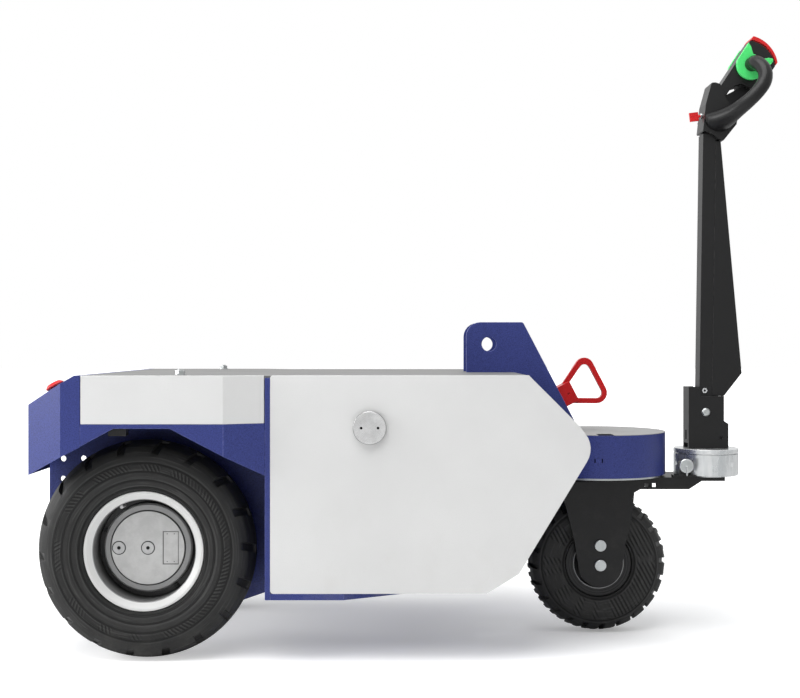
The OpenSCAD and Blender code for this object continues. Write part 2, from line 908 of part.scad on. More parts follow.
// Tyre: a turned carcass with a domed crown, sidewall ridges and lug grooves over both shoulders
// Shares: radial place between bead and tread, and place across the half width
tyre_side_shares = [
    [0, 0.69], [0.11, 0.69], [0.125, 0.84], [0.18, 0.875], [0.195, 0.905], [0.36, 0.965],
    [0.375, 0.99], [0.55, 1], [0.69, 0.95], [0.79, 0.87], [0.865, 0.77], [0.9025, 0.70],
    [0.938, 0.49], [0.971, 0.28], [0.9925, 0.14], [1, 0.03]
];
function tyre_points(r, w, bead) = concat(
    [for (s = tyre_side_shares) [bead + s[0] * (r - bead), s[1] * w / 2]],
    [for (i = [len(tyre_side_shares) - 1 : -1 : 0])
        let (s = tyre_side_shares[i])
        [bead + s[0] * (r - bead), -s[1] * w / 2]]
);
module tyre(r, w, bead, lugs, groove_w, groove_deep, groove_from, tilt, slant, stagger_share) {
    difference() {
        turned_y()
            polygon(tyre_points(r, w, bead));
        for (side = [0, 1], i = [0 : lugs - 1])
            mirror([0, side, 0])
                rotate([0, (i + (1 - side) * stagger_share) * 360 / lugs, 0])
                    translate([0, groove_from, r - groove_deep])
                        rotate([-tilt, 0, slant])
                            translate([-groove_w / 2, 0, 0])
                                cube([groove_w, w, w]);
    }
}

// Drive wheels: tyre, deep-dish rim, hub with its cap, and the plugs, nuts and valve
tyre_groove_w = 16;
tyre_groove_deep = 5;
tyre_groove_from = 9;
tyre_groove_tilt = 24;
tyre_slant = 14;
tyre_stagger_share = 0.5;
rim_lip_y = 40;
rim_lip_t = 8;
rim_wall = 5;
rim_disc_y = -25;
rim_disc_t = 5;
rim_disc_gap = 0.2;
hub_flange_r = 95;
hub_flange_t = 8;
hub_r = hub_d / 2;
hub_cap_r = 70;
hub_cap_h = 2;
hub_groove = 2.5;
hub_chamfer = 3;
recess_x0 = 29;
recess_l = 29;
recess_h = 62;
recess_deep = 1;
plug_r = 11.5;
plug_ring = 2.5;
plug_h = 1.6;
plug_out = 55.5;
nut_n = 5;
nut_r = 90.6;
nut_flats = 9;
nut_h = 7;
nut_turn = 56;
valve_r = 3.4;
valve_l = 28;
valve_back = 21;
valve_turn = 118;
module at_wheel() {
    translate([axle_x, track / 2, axle_z])
        children();
}
module drive_tyre() {
    color([0.15, 0.15, 0.15])
        at_wheel()
            tyre(
                tyre_d / 2, tyre_w, bead_d / 2, tyre_lugs,
                tyre_groove_w, tyre_groove_deep, tyre_groove_from, tyre_groove_tilt,
                tyre_slant, tyre_stagger_share
            );
}
module drive_rim() {
    color([0.90, 0.90, 0.89])
        at_wheel()
            turned_y()
                polygon([
                    [hub_r + rim_disc_gap, rim_disc_y],
                    [bead_d / 2 - rim_wall, rim_disc_y],
                    [bead_d / 2 - rim_wall, -rim_lip_y + rim_wall],
                    [bead_d / 2 - rim_wall, -rim_lip_y - rim_wall],
                    [rim_d / 2, -rim_lip_y - rim_wall],
                    [rim_d / 2, -rim_lip_y],
                    [bead_d / 2 - weld_gap, -rim_lip_y],
                    [bead_d / 2 - weld_gap, rim_lip_y],
                    [rim_d / 2, rim_lip_y],
                    [rim_d / 2, rim_lip_y + rim_wall],
                    [rim_d / 2 - rim_wall, rim_lip_y + rim_wall],
                    [bead_d / 2 - rim_wall, rim_lip_y + rim_wall - rim_lip_t],
                    [bead_d / 2 - rim_wall, rim_disc_y + rim_disc_t],
                    [hub_r + rim_disc_gap, rim_disc_y + rim_disc_t]
                ]);
}
module drive_hub() {
    color([0.74, 0.74, 0.74])
        at_wheel()
            difference() {
                turned_y()
                    polygon([
                        [spindle_r + run_gap, -hub_flange_t + rim_disc_y],
                        [hub_flange_r, -hub_flange_t + rim_disc_y],
                        [hub_flange_r, rim_disc_y],
                        [hub_r, rim_disc_y],
                        [hub_r, -hub_chamfer],
                        [hub_r - hub_chamfer, 0],
                        [hub_cap_r + hub_groove, 0],
                        [hub_cap_r + hub_groove, -hub_groove],
                        [hub_cap_r, -hub_groove],
                        [hub_cap_r, hub_cap_h],
                        [0, hub_cap_h],
                        [0, -hub_chamfer - hub_cap_h],
                        [spindle_r + run_gap, -hub_chamfer - hub_cap_h]
                    ]);
                translate([recess_x0, hub_cap_h - recess_deep, -recess_h / 2])
                    cube([recess_l, recess_deep + over, recess_h]);
            }
}
module drive_fittings() {
    color([0.55, 0.55, 0.56])
        at_wheel() {
            for (x = [0, -plug_out])
                translate([x, 0, 0])
                    turned_y()
                        polygon([
                            [plug_ring, hub_cap_h],
                            [plug_r, hub_cap_h],
                            [plug_r, hub_cap_h + plug_h],
                            [plug_r - plug_ring, hub_cap_h + plug_h],
                            [plug_r - plug_ring, hub_cap_h + plug_h / 2],
                            [plug_ring, hub_cap_h + plug_h / 2]
                        ]);
            for (i = [0 : nut_n - 1])
                rotate([0, nut_turn + i * 360 / nut_n, 0])
                    translate([nut_r, rim_disc_y + rim_disc_t, 0])
                        rotate([-90, 0, 0])
                            hexagon(nut_flats, nut_h);
            rotate([0, -valve_turn, 0])
                translate([bead_d / 2 - rim_wall - valve_r - weld_gap, 0, 0])
                    rod_y(valve_r, rim_lip_y - valve_back - valve_l / 2, rim_lip_y - valve_back + valve_l / 2);
        }
}
module tyre_left() {
    drive_tyre();
}
module tyre_right() {
    right_side() drive_tyre();
}
module rim_left() {
    drive_rim();
}
module rim_right() {
    right_side() drive_rim();
}
module hub_left() {
    drive_hub();
}
module hub_right() {
    right_side() drive_hub();
}
module hub_fittings_left() {
    drive_fittings();
}
module hub_fittings_right() {
    right_side() drive_fittings();
}

// Steering fork: two cut cheeks whose upper ends run forward as the webs of the tiller arm,
// the top plate over both, a cross plate between them and the stud that carries the turret
cheek_tip_r = 45;
cheek_t = 7.6;
fork_plate_t = 7.4;
fork_half_w = fork_w / 2;
arm_low = 300;
arm_web_l = 182;
arm_web_end = 208;
arm_top_l = 256;
arm_plate_x = 100;
arm_plate_t = 8;
fork_back_x = -80;
fork_waist_x = 72;
fork_waist_z = 271;
fork_knee_x = 68;
fork_knee_z = 293;
arm_fillet_x = 82;
fork_tip_w = 52;
window_x = 90.5;
window_l = 24.5;
window_z = 304.1;
window_h = 8.6;
module fork_cheek() {
    difference() {
        across(fork_half_w - cheek_t, fork_half_w) {
            translate([0, steer_z])
                circle(r = cheek_tip_r, $fn = 48);
            polygon([
                [-cheek_tip_r, steer_z],
                [cheek_tip_r, steer_z],
                [fork_tip_w, steer_z + cheek_tip_r],
                [fork_knee_x - head_wall, fork_waist_z - cheek_tip_r],
                [fork_knee_x, fork_waist_z],
                [fork_waist_x - over, fork_knee_z],
                [arm_fillet_x, arm_low],
                [arm_web_l, arm_low],
                [arm_web_end, fork_top - fork_plate_t],
                [fork_back_x, fork_top - fork_plate_t],
                [-fork_waist_x, fork_waist_z],
                [-fork_tip_w, steer_z + cheek_tip_r]
            ]);
        }
        translate([window_x, 0, window_z])
            cube([window_l, fork_w, window_h]);
        translate([0, 0, steer_z])
            rod_y(axle_d / 2 + run_gap, 0, fork_w);
        translate([0, 0, steer_z + upper_bolt_rise])
            rod_y(upper_bolt_d / 2 + run_gap, 0, fork_w);
    }
}
upper_bolt_rise = 40.5;
upper_bolt_d = 14;
bolt_head_r = 11.6;
bolt_head_h = 5;
arm_half_w = fork_half_w;
module steering_fork() {
    color([0.15, 0.15, 0.15])
        translate([steer_x, 0, 0]) {
            fork_cheek();
            right_side() fork_cheek();
            translate([arm_plate_x, -fork_half_w + cheek_t, arm_low])
                cube([arm_plate_t, 2 * (fork_half_w - cheek_t), fork_top - fork_plate_t - arm_low]);
            translate([turret_reach, 0, fork_top - fork_plate_t])
                cylinder(r = turret_stud_r, h = fork_plate_t + turret_stud_up);
            translate([0, 0, fork_top - fork_plate_t])
                linear_extrude(fork_plate_t)
                    union() {
                        circle(r = race_in_r, $fn = 96);
                        translate([0, -arm_half_w])
                            square([arm_top_l, 2 * arm_half_w]);
                    }
        }
}

// Fork bolts: the wheel axle and the two short screws above it
module fork_bolts() {
    color([0.72, 0.75, 0.77])
        translate([steer_x, 0, steer_z]) {
            rod_y(axle_d / 2, -fork_half_w, fork_half_w);
            for (s = [0, 1])
                mirror([0, s, 0]) {
                    rod_y(bolt_head_r, fork_half_w, fork_half_w + bolt_head_h);
                    translate([0, 0, upper_bolt_rise]) {
                        rod_y(upper_bolt_d / 2, fork_half_w - cheek_t, fork_half_w);
                        rod_y(bolt_head_r, fork_half_w, fork_half_w + bolt_head_h);
                    }
                }
        }
}

// Steered wheel: tyre, rim and the two bearings with their spacers
steer_bead_r = 58;
steer_groove_w = 15;
steer_groove_deep = 4.6;
steer_groove_tilt = 20;
steer_slant = 10;
steer_rim_y = 31.4;
steer_lip_t = 4;
steer_well_r = 50;
steer_disc_t = 6;
steer_hub_r = 30;
bearing_r = 21;
bearing_w = 14;
bearing_in = 20;
spacer_r = 15;
module at_steer() {
    translate([steer_x, 0, steer_z])
        children();
}
module steer_tyre() {
    color([0.15, 0.15, 0.15])
        at_steer()
            tyre(
                steer_z, steer_w, steer_bead_r, steer_lugs,
                steer_groove_w, steer_groove_deep, 0, steer_groove_tilt, steer_slant, tyre_stagger_share
            );
}
module steer_rim() {
    color([0.35, 0.35, 0.36])
        at_steer()
            turned_y()
                polygon([
                    [bearing_r, -steer_rim_y - over],
                    [steer_hub_r, -steer_rim_y - over],
                    [steer_hub_r, -steer_disc_t],
                    [steer_well_r, -steer_disc_t],
                    [steer_well_r, -steer_rim_y - steer_lip_t],
                    [steer_rim_d / 2, -steer_rim_y - steer_lip_t],
                    [steer_rim_d / 2, -steer_rim_y],
                    [steer_bead_r - weld_gap, -steer_rim_y],
                    [steer_bead_r - weld_gap, steer_rim_y],
                    [steer_rim_d / 2, steer_rim_y],
                    [steer_rim_d / 2, steer_rim_y + steer_lip_t],
                    [steer_well_r, steer_rim_y + steer_lip_t],
                    [steer_well_r, steer_disc_t],
                    [steer_hub_r, steer_disc_t],
                    [steer_hub_r, steer_rim_y + over],
                    [bearing_r, steer_rim_y + over]
                ]);
}
module steer_bearings() {
    color([0.7, 0.7, 0.72])
        at_steer()
            for (s = [0, 1])
                mirror([0, s, 0])
                    turned_y()
                        polygon([
                            [axle_d / 2 + run_gap, bearing_in],
                            [bearing_r, bearing_in],
                            [bearing_r, bearing_in + bearing_w],
                            [spacer_r, bearing_in + bearing_w],
                            [spacer_r, fork_half_w - cheek_t - seat_gap],
                            [axle_d / 2 + run_gap, fork_half_w - cheek_t - seat_gap]
                        ]);
}

// Turret: the drum and disc that turn on the stud of the arm with the tiller bracket
turret_stud_r = 25;
turret_stud_up = 42;
turret_groove_z = 369.5;
turret_groove_h = 2;
turret_groove_r = 61;
turret_r = turret_d / 2;
turret_edge = 2.5;
index_r = 4.5;
index_deep = 17;
index_turn = 20;
plunger_x = -58.5;
plunger_z = 349.5;
side_plug_r = 4.7;
side_plug_x = 41;
side_plug_deep = 3;
module turret_drum() {
    color([0.74, 0.75, 0.76])
        translate([turret_x, 0, 0])
            difference() {
                translate([0, 0, fork_top + seat_gap])
                    rotate_extrude($fn = 96)
                        polygon([
                            [turret_stud_r + run_gap, 0],
                            [turret_r - turret_edge, 0],
                            [turret_r, turret_edge],
                            [turret_r, turret_groove_z - fork_top - seat_gap],
                            [turret_groove_r, turret_groove_z - fork_top - seat_gap],
                            [turret_groove_r, turret_groove_z + turret_groove_h - fork_top - seat_gap],
                            [0, turret_groove_z + turret_groove_h - fork_top - seat_gap],
                            [0, turret_stud_up],
                            [turret_stud_r + run_gap, turret_stud_up]
                        ]);
                for (a = [0, -index_turn])
                    rotate([0, 0, a])
                        translate([plunger_x, 0, plunger_z])
                            rod_y(index_r, -turret_r, plunger_tip_y + index_deep);
                translate([side_plug_x, 0, plunger_z])
                    rod_y(side_plug_r, -turret_r, -sqrt(turret_r * turret_r - side_plug_x * side_plug_x) + side_plug_deep);
            }
}
module turret_disc() {
    color([0.78, 0.79, 0.80])
        translate([turret_x, 0, turret_groove_z + turret_groove_h])
            cylinder(r = turret_r, h = turret_top - turret_groove_z - turret_groove_h, $fn = 96);
}

// Lock plunger: a barrel on the arm guides the pin into one of the index holes of the turret
block_l = 15;
block_w = 20;
block_y = -62;
barrel_r = 10;
pin_r = 4;
pin_back = 1;
knob_r = 14.6;
knob_t = 7;
knob_gap = 12.5;
knob_edge = 1.5;
lever_w = 3;
lever_l = 19;
lever_t = 3;
screw_r = 3.6;
screw_h = 2.5;
screw_x = -17;
foot_l = 46;
foot_t = 5;
module plunger_block() {
    color([0.2, 0.2, 0.21])
        translate([turret_x + plunger_x, block_y, fork_top])
            difference() {
                union() {
                    translate([0, 0, plunger_z - fork_top])
                        rod_y(barrel_r, 0, block_w);
                    translate([-block_l / 2, 0, 0])
                        cube([block_l, block_w, plunger_z - fork_top]);
                    translate([-foot_l / 2, 0, 0])
                        cube([foot_l, block_w, foot_t]);
                    for (s = [0, 1])
                        translate([screw_x * (1 - s), block_w / 4 - s * block_w / 4 + s * screw_r, foot_t])
                            cylinder(r = screw_r, h = screw_h);
                }
                translate([0, 0, plunger_z - fork_top])
                    rod_y(pin_r + run_gap, -over, block_w + over);
                translate([-plunger_x, -block_y, -over])
                    cylinder(r = turret_r + seat_gap, h = head_top);
            }
}
plunger_tip_y = -sqrt(turret_r * turret_r - pow(-plunger_x - pin_r, 2)) - pin_back;
module lock_plunger() {
    color([0.72, 0.74, 0.75])
        translate([turret_x + plunger_x, 0, plunger_z]) {
            rod_y(pin_r, block_y - knob_gap - knob_t, plunger_tip_y);
            translate([0, block_y - knob_gap - knob_t, 0])
                turned_y()
                    polygon([
                        [0, 0],
                        [knob_r - knob_edge, 0],
                        [knob_r, knob_edge],
                        [knob_r, knob_t - knob_edge],
                        [knob_r - knob_edge, knob_t],
                        [0, knob_t]
                    ]);
            translate([-lever_w / 2, block_y - knob_gap - knob_t - lever_t, -lever_l])
                cube([lever_w, lever_t, lever_l]);
        }
}

// Tiller bracket: a folded U on the turret whose cheeks carry the tilt pivot
bracket_half = 26;
bracket_t = 5.8;
bracket_back_x = -41.6;
bracket_front_x = 41;
bracket_foot_h = 10;
bracket_foot_w = 34;
bracket_step_x = 31.8;
bracket_step_z = 438;
bracket_low_top = 490;
bracket_high_top = 509;
bracket_lip_l = 20;
bracket_slot_z = 398;
bracket_slot_h = 20;
bracket_slot_w = 10;
bracket_hole_x = 25.2;
bracket_hole_z = 403;
bracket_hole_r = 4;
pivot_r = 8;
module tiller_bracket() {
    color([0.15, 0.15, 0.15])
        translate([turret_x, 0, 0])
            difference() {
                across(-bracket_half, bracket_half)
                    polygon([
                        [bracket_back_x, turret_top],
                        [bracket_front_x, turret_top],
                        [bracket_front_x, bracket_step_z - bracket_t],
                        [bracket_step_x, bracket_step_z],
                        [bracket_step_x, bracket_low_top],
                        [bracket_back_x + bracket_lip_l + bracket_t, bracket_low_top],
                        [bracket_back_x + bracket_lip_l, bracket_high_top],
                        [bracket_back_x, bracket_high_top]
                    ]);
                translate([bracket_back_x + bracket_t, -bracket_half + bracket_t, turret_top + bracket_t])
                    cube([bracket_front_x - bracket_back_x, 2 * (bracket_half - bracket_t), post_l]);
                translate([bracket_back_x - over, -bracket_slot_w / 2, bracket_slot_z])
                    cube([bracket_t + 2 * over, bracket_slot_w, bracket_slot_h]);
                translate([bracket_back_x - over, -bracket_foot_w / 2, turret_top - over])
                    cube([bracket_t + 2 * over, bracket_foot_w, bracket_foot_h + over]);
                translate([bracket_hole_x, 0, bracket_hole_z])
                    rod_y(bracket_hole_r, -bracket_half - over, bracket_half + over);
                translate([-pivot_back, 0, pivot_z])
                    rod_y(pivot_r + run_gap, -bracket_half - over, bracket_half + over);
            }
}

// Pivot pin: rounded heads outside the bracket, shank through the foot of the post
pivot_head_r = 8.9;
pivot_head_h = 4;
pivot_shank_r = 7.5;
module pivot_pin() {
    color([0.72, 0.74, 0.75])
        translate([pivot_x, 0, pivot_z]) {
            rod_y(pivot_r, -bracket_half, -bracket_half + bracket_t);
            rod_y(pivot_r, bracket_half - bracket_t, bracket_half);
            rod_y(pivot_shank_r, -bracket_half + bracket_t, bracket_half - bracket_t);
            for (s = [0, 1])
                mirror([0, s, 0])
                    translate([0, bracket_half, 0])
                        turned_y()
                            polygon([
                                [0, 0],
                                [pivot_head_r, 0],
                                [pivot_head_r * dome_share, pivot_head_h * dome_share],
                                [0, pivot_head_h]
                            ]);
        }
}
dome_share = 0.72;

// Tiller post and everything above it are drawn upright on the tilt pivot, then leaned
module on_post() {
    translate([pivot_x, 0, pivot_z])
        rotate([0, post_lean, 0])
            children();
}
post_foot = 16;
post_wall = 3;
nut_up = 44.5;
nut_back = 1.7;
nut_across = 10;
nut_hole_r = 2.2;
nut_thick = 5;
nut_proud = 0.2;
post_low_solid = 90;
module tiller_post() {
    color([0.16, 0.16, 0.16])
        on_post()
            difference() {
                translate([-post_depth / 2, -post_w / 2, -post_foot])
                    cube([post_depth, post_w, post_l + post_foot]);
                translate([
                    -post_depth / 2 + post_wall,
                    -post_w / 2 + post_wall,
                    post_low_solid
                ])
                    cube([post_depth - 2 * post_wall, post_w - 2 * post_wall, post_l]);
                rod_y(pivot_shank_r + run_gap, -post_w, post_w);
                at_nuts()
                    translate([0, 0, -seat_gap])
                        hexagon(nut_across + 2 * seat_gap, nut_thick + over);
            }
}

// Post nuts: a hexagon nut let into each face of the post, so that it swings clear of the bracket
module at_nuts() {
    for (s = [0, 1])
        mirror([0, s, 0])
            translate([-nut_back, post_w / 2 - nut_thick + nut_proud, nut_up])
                rotate([-90, 0, 0])
                    children();
}
module post_nuts() {
    color([0.75, 0.76, 0.77])
        on_post()
            at_nuts()
                difference() {
                    hexagon(nut_across, nut_thick);
                    translate([0, 0, nut_thick / 2])
                        cylinder(r = nut_hole_r, h = nut_thick);
                }
}

// Post cover: the tapered cable cover behind the post
cover_foot_z = 34;
cover_foot_x = 38.8;
cover_knee_x = 75;
cover_knee_z = 82;
cover_top_x = 24;
cover_top_drop = 14.7;
cover_wall = 2.5;
module post_cover() {
    color([0.16, 0.16, 0.16])
        on_post()
            difference() {
                across(-post_w / 2, post_w / 2)
                    polygon([
                        [post_depth / 2 + weld_gap, cover_foot_z],
                        [cover_foot_x, cover_foot_z],
                        [cover_knee_x, cover_knee_z],
                        [cover_top_x, post_l - cover_top_drop],
                        [post_depth / 2 + weld_gap, post_l - cover_top_drop]
                    ]);
                across(-post_w / 2 + cover_wall, post_w / 2 - cover_wall)
                    polygon([
                        [post_depth / 2 - over, cover_foot_z + cover_wall],
                        [cover_foot_x - cover_wall / 2, cover_foot_z + cover_wall],
                        [cover_knee_x - cover_wall, cover_knee_z + cover_wall / 2],
                        [cover_top_x - cover_wall, post_l - cover_top_drop - cover_wall],
                        [post_depth / 2 - over, post_l - cover_top_drop - cover_wall]
                    ]);
            }
}

// Tiller head: frame of the head on the hub axis, a towards the button and n away from the face
module on_head() {
    on_post()
        translate([hub_out, 0, post_l - hub_root() + hub_up])
            rotate([0, head_tilt, 0])
                children();
}
head_half = 28;
base_half = 29;
web_half = 10;
boss_r = grip_d / 2;
boss_out = 56;
rim_centre_a = -13.4;
rim_centre_n = -3.5;
rim_r = 61.5;
pocket_wall = 4;
pocket_front_n = -20;
pocket_rear_n = 30;
pocket_a = 16;
button_travel = 2.5;
// Hub module with its neck: corners drawn as [n, a]
module_points = [
    [-28.5, -80], [-8, -80], [-8, -66], [-4.5, -53], [5, -42], [34, -38], [43.5, 18], [43.5, 70],
    [-28.5, 70]
];
// Base block: corners from the end of the post, drawn as [x, z]
base_points = [
    [-15.5, 3.5], [-9, 3.5], [7, -4], [17.4, -12], [27, -15.5], [54, 19], [56, 34], [42, 58],
    [31, 73], [26, 90], [18.5, 102.5], [9, 105.4], [0.8, 104.6], [-1.8, 94], [-10.6, 60]
];
// Web behind the see-through slot, drawn as [x, z] like the base block
web_points = [
    [28, 56], [30, 80], [40, 85.5], [65, 99], [82, 104], [88, 92], [66, 66], [50, 44]
];
module tiller_head() {
    color([0.19, 0.19, 0.19]) {
        on_head()
            difference() {
                union() {
                    across(-head_half, head_half)
                        intersection() {
                            polygon(module_points);
                            union() {
                                translate([rim_centre_n, rim_centre_a])
                                    circle(r = rim_r, $fn = 72);
                                translate([-cap_r, -2 * cap_r])
                                    square([2 * cap_r, 2 * cap_r]);
                            }
                        }
                    rod_y(boss_r, -boss_out, boss_out);
                }
                translate([
                    pocket_front_n - seat_gap,
                    -head_half + pocket_wall,
                    pocket_a
                ])
                    cube([
                        pocket_rear_n - pocket_front_n + 2 * seat_gap,
                        2 * (head_half - pocket_wall),
                        cap_r
                    ]);
            }
        on_post()
            difference() {
                translate([0, 0, post_l])
                    union() {
                        across(-base_half, base_half)
                            polygon(rounded([for (p = base_points) [p[0], p[1], base_round]]));
                        across(-web_half, web_half)
                            polygon(web_points);
                    }
                translate([
                    -post_depth / 2 - run_gap,
                    -post_w / 2 - run_gap,
                    0
                ])
                    cube([post_depth + 2 * run_gap, post_w + 2 * run_gap, post_l + seat_gap]);
                on_key()
                    cylinder(r = key_barrel_r + run_gap, h = 2 * key_barrel_l, center = true);
            }
    }
}
base_round = 2;

// Handle loops: swept grips from the hub bosses round to the base, one on each side
// Centre line points from the hub: along X, across Y, along Z
loop_points = [
    [0, 56.3, 0], [3, 70, -5], [9.5, 84, -17], [12.5, 93, -33], [8.6, 96.5, -50], [-2.6, 96.5, -67],
    [-17.6, 92, -83.5], [-33, 82, -97], [-48, 65, -109], [-61, 45, -117], [-72, 24, -120]
];
// Shares of the grip radius along the path: across the palm, and between palm and hub
loop_wide_shares = [[0, 1], [0.6, 1], [0.75, 1.12], [0.9, 1.6], [1, 1.85]];
loop_thin_shares = [[0, 1], [0.6, 1], [1, 1.2]];
loop_sides = 16;
loop_steps = 3;
loop_n = len(loop_points) - 1;
function loop_at(i) = i < 0
    ? loop_points[0] - (loop_points[0][1] - boss_out + pocket_wall * 3) * [0, 1, 0]
    : i > loop_n ? 2 * loop_points[loop_n] - loop_points[loop_n - 1] : loop_points[i];
// Smooth curve through the points; q runs from 0 to loop_n
function loop_curve(q) =
    let (
        i = min(floor(q), loop_n - 1),
        t = q - i,
        a = loop_at(i - 1),
        b = loop_at(i),
        c = loop_at(i + 1),
        d = loop_at(i + 2)
    )
    b + (c - a) * t / 2 + (a - 2.5 * b + 2 * c - d / 2) * t * t
        + (1.5 * (b - c) + (d - a) / 2) * t * t * t;
function loop_frame(q) =
    let (
        d = q == 0 ? [0, 1, 0] : unit(loop_curve(min(loop_n, q + 0.1)) - loop_curve(q - 0.1)),
        chord = unit([loop_points[loop_n][0], 0, loop_points[loop_n][2]]),
        side = unit(cross(d, [chord[2], loop_roll_share, -chord[0]])),
        up = cross(side, d)
    )
    [side, up];
loop_roll_share = 0.15;
module grip_sweep() {
    last = loop_n * loop_steps;
    rings = [
        for (i = [0 : last])
            let (
                q = i / loop_steps,
                p = loop_curve(q),
                f = loop_frame(q),
                thin = grip_d / 2 * lookup(i / last, loop_thin_shares),
                wide = grip_d / 2 * lookup(i / last, loop_wide_shares)
            )
            for (k = [0 : loop_sides - 1])
                p + cos(k * 360 / loop_sides) * thin * f[0] + sin(k * 360 / loop_sides) * wide * f[1]
    ];
    walls = [
        for (i = [0 : last - 1], k = [0 : loop_sides - 1])
            let (
                a = i * loop_sides + k,
                b = i * loop_sides + (k + 1) % loop_sides,
                c = a + loop_sides,
                d = b + loop_sides
            )
            each [[a, c, d], [a, d, b]]
    ];
    ends = [
        [for (k = [0 : loop_sides - 1]) k],
        [for (k = [loop_sides - 1 : -1 : 0]) last * loop_sides + k]
    ];
    polyhedron(rings, concat(walls, ends));
}
module handle_loops() {
    color([0.19, 0.19, 0.19])
        on_post()
            difference() {
                translate([hub_out, 0, post_l - hub_root() + hub_up])
                    for (s = [0, 1])
                        mirror([0, s, 0])
                            grip_sweep();
                translate([-post_l / 2, -base_half - weld_gap, 0])
                    cube([post_l, 2 * (base_half + weld_gap), 2 * post_l]);
            }
}

// Butterfly throttle: a ring on each hub boss with a thumb lobe and two horns
wing_in = 29;
wing_t = 9;
wing_r = 31;
wing_front = 30;
// Shares of the wing radius against the angle from the head axis
wing_shares = [
    [0, 0.66], [28, 0.70], [36, 1.20], [42, 1.46], [50, 1.42], [60, 1.18], [80, 1.04], [110, 1],
    [180, 1]
];
module wing() {
    across(wing_in, wing_in + wing_t)
        difference() {
            polygon([
                for (a = [0 : 6 : 354])
                    let (r = wing_r * lookup(a > 180 ? 360 - a : a, wing_shares))
                    [max(r * sin(a), -wing_front), r * cos(a)]
            ]);
            circle(r = boss_r + run_gap);
        }
}
module throttle() {
    color([0.26, 0.80, 0.42])
        on_head() {
            wing();
            right_side() wing();
        }
}

// Safety button: the red cap at the end of the head, with a stem that slides in the pocket
module belly_button() {
    color([0.80, 0.15, 0.15])
        on_head()
            union() {
                across(-head_half, head_half)
                    difference() {
                        intersection() {
                            translate([cap_centre_n, cap_centre_a])
                                circle(r = cap_r, $fn = 72);
                            translate([cap_front_n, pocket_a])
                                square([cap_rear_n - cap_front_n, cap_r]);
                        }
                        translate([rim_centre_n, rim_centre_a + button_travel + seat_gap])
                            circle(r = rim_r, $fn = 72);
                    }
                across(-head_half + pocket_wall + seat_gap, head_half - pocket_wall - seat_gap)
                    polygon([
                        [pocket_front_n, pocket_a + button_travel + seat_gap],
                        [pocket_rear_n, pocket_a + button_travel + seat_gap],
                        [pocket_rear_n, cap_stem_rear_a],
                        [0, cap_stem_a],
                        [pocket_front_n, cap_stem_a]
                    ]);
            }
}
cap_stem_a = 53.5;
cap_stem_rear_a = 45;

// Key switch: a barrel in the face of the head and the key that turns in it
key_z = 40;
key_x = -13.2;
key_dip = 8;
key_barrel_r = 6;
key_barrel_l = 12;
key_barrel_out = 2;
key_hole_r = 3;
key_shank_r = 2.95;
key_shank_in = 6;
key_shank_out = 6;
key_bow = 18.5;
key_bow_t = 5;
module on_key() {
    translate([key_x, 0, post_l + key_z])
        rotate([0, -90 - key_dip, 0])
            children();
}
module key_barrel() {
    color([0.72, 0.73, 0.74])
        on_post()
            on_key()
                difference() {
                    translate([0, 0, -key_barrel_l])
                        cylinder(r = key_barrel_r, h = key_barrel_l + key_barrel_out);
                    translate([0, 0, -key_shank_in - key_barrel_out])
                        cylinder(r = key_hole_r, h = 2 * key_barrel_l);
                }
}
module key() {
    color([0.80, 0.15, 0.15])
        on_post()
            on_key() {
                translate([0, 0, -key_shank_in])
                    cylinder(r = key_shank_r, h = key_shank_in + key_shank_out);
                translate([-key_bow / 2, -key_bow_t / 2, key_shank_out])
                    cube([key_bow, key_bow_t, key_bow]);
            }
}

// Power connector plug: moulded body, triangular pull handle and two contact pins
plug_out_l = 31.2;
plug_in_l = 20;
pull_half_w = 7;
pull_corner_r = 22;
pull_top_r = 19;
pull_inner_r = 11;
plug_screw_r = 2.6;
plug_screw_deep = 3;
plug_screw_x = 17.5;
// Outer and inner corners of the pull handle in the frame of the sloped face, as [x, z, radius]
pull_outer = [
    [19, -23.7, 0], [94.6, -64, pull_corner_r], [94.6, 65, pull_top_r], [19, 23.7, 0]
];
pull_inner = [
    [31.2, -18, 0], [83.8, -46, pull_inner_r], [83.8, 46, pull_inner_r], [31.2, 18, 0]
];
module power_plug() {
    color([0.72, 0.08, 0.08])
        on_slope(plug_up)
            difference() {
                union() {
                    translate([seat_gap, -plug_w / 2 + socket_gap, -plug_l / 2 + seat_gap])
                        cube([plug_out_l - seat_gap, plug_w - 2 * socket_gap, plug_l - 2 * seat_gap]);
                    across(-pull_half_w, pull_half_w)
                        difference() {
                            polygon(rounded(pull_outer));
                            polygon(rounded(pull_inner));
                        }
                    for (s = [-1, 1])
                        translate([-plug_in_l, s * contact_y, 0])
                            rotate([0, 90, 0])
                                cylinder(r = contact_r - run_gap, h = plug_in_l + over);
                }
                for (s = [-1, 1])
                    translate([plug_screw_x, s * (plug_w / 2 - socket_gap), 0])
                        rod_y(plug_screw_r, -plug_screw_deep, plug_screw_deep);
            }
}

floor_pan();
bulkhead();
well_plate_left();
well_plate_right();
fascia();
arch_skirt_left();
arch_skirt_right();
wheel_cover_left();
wheel_cover_right();
cover_brackets();
deck_plate();
deck_bolts();
side_panel_left();
side_panel_right();
panel_locks();
tow_cheek_left();
tow_cheek_right();
nose_plate();
connector_socket();
head_drum();
head_cover();
slew_ring();
nose_cover_left();
nose_cover_right();
batteries();
motor_controller();
drive_unit_left();
drive_unit_right();
estop_base();
estop_button();
tyre_left();
tyre_right();
rim_left();
rim_right();
hub_left();
hub_right();
hub_fittings_left();
hub_fittings_right();
inner_race();
steering_fork();
fork_bolts();
steer_tyre();
steer_rim();
steer_bearings();
key_barrel();
turret_drum();
turret_disc();
plunger_block();
lock_plunger();
tiller_bracket();
pivot_pin();
tiller_post();
post_nuts();
post_cover();
tiller_head();
handle_loops();
throttle();
belly_button();
key();
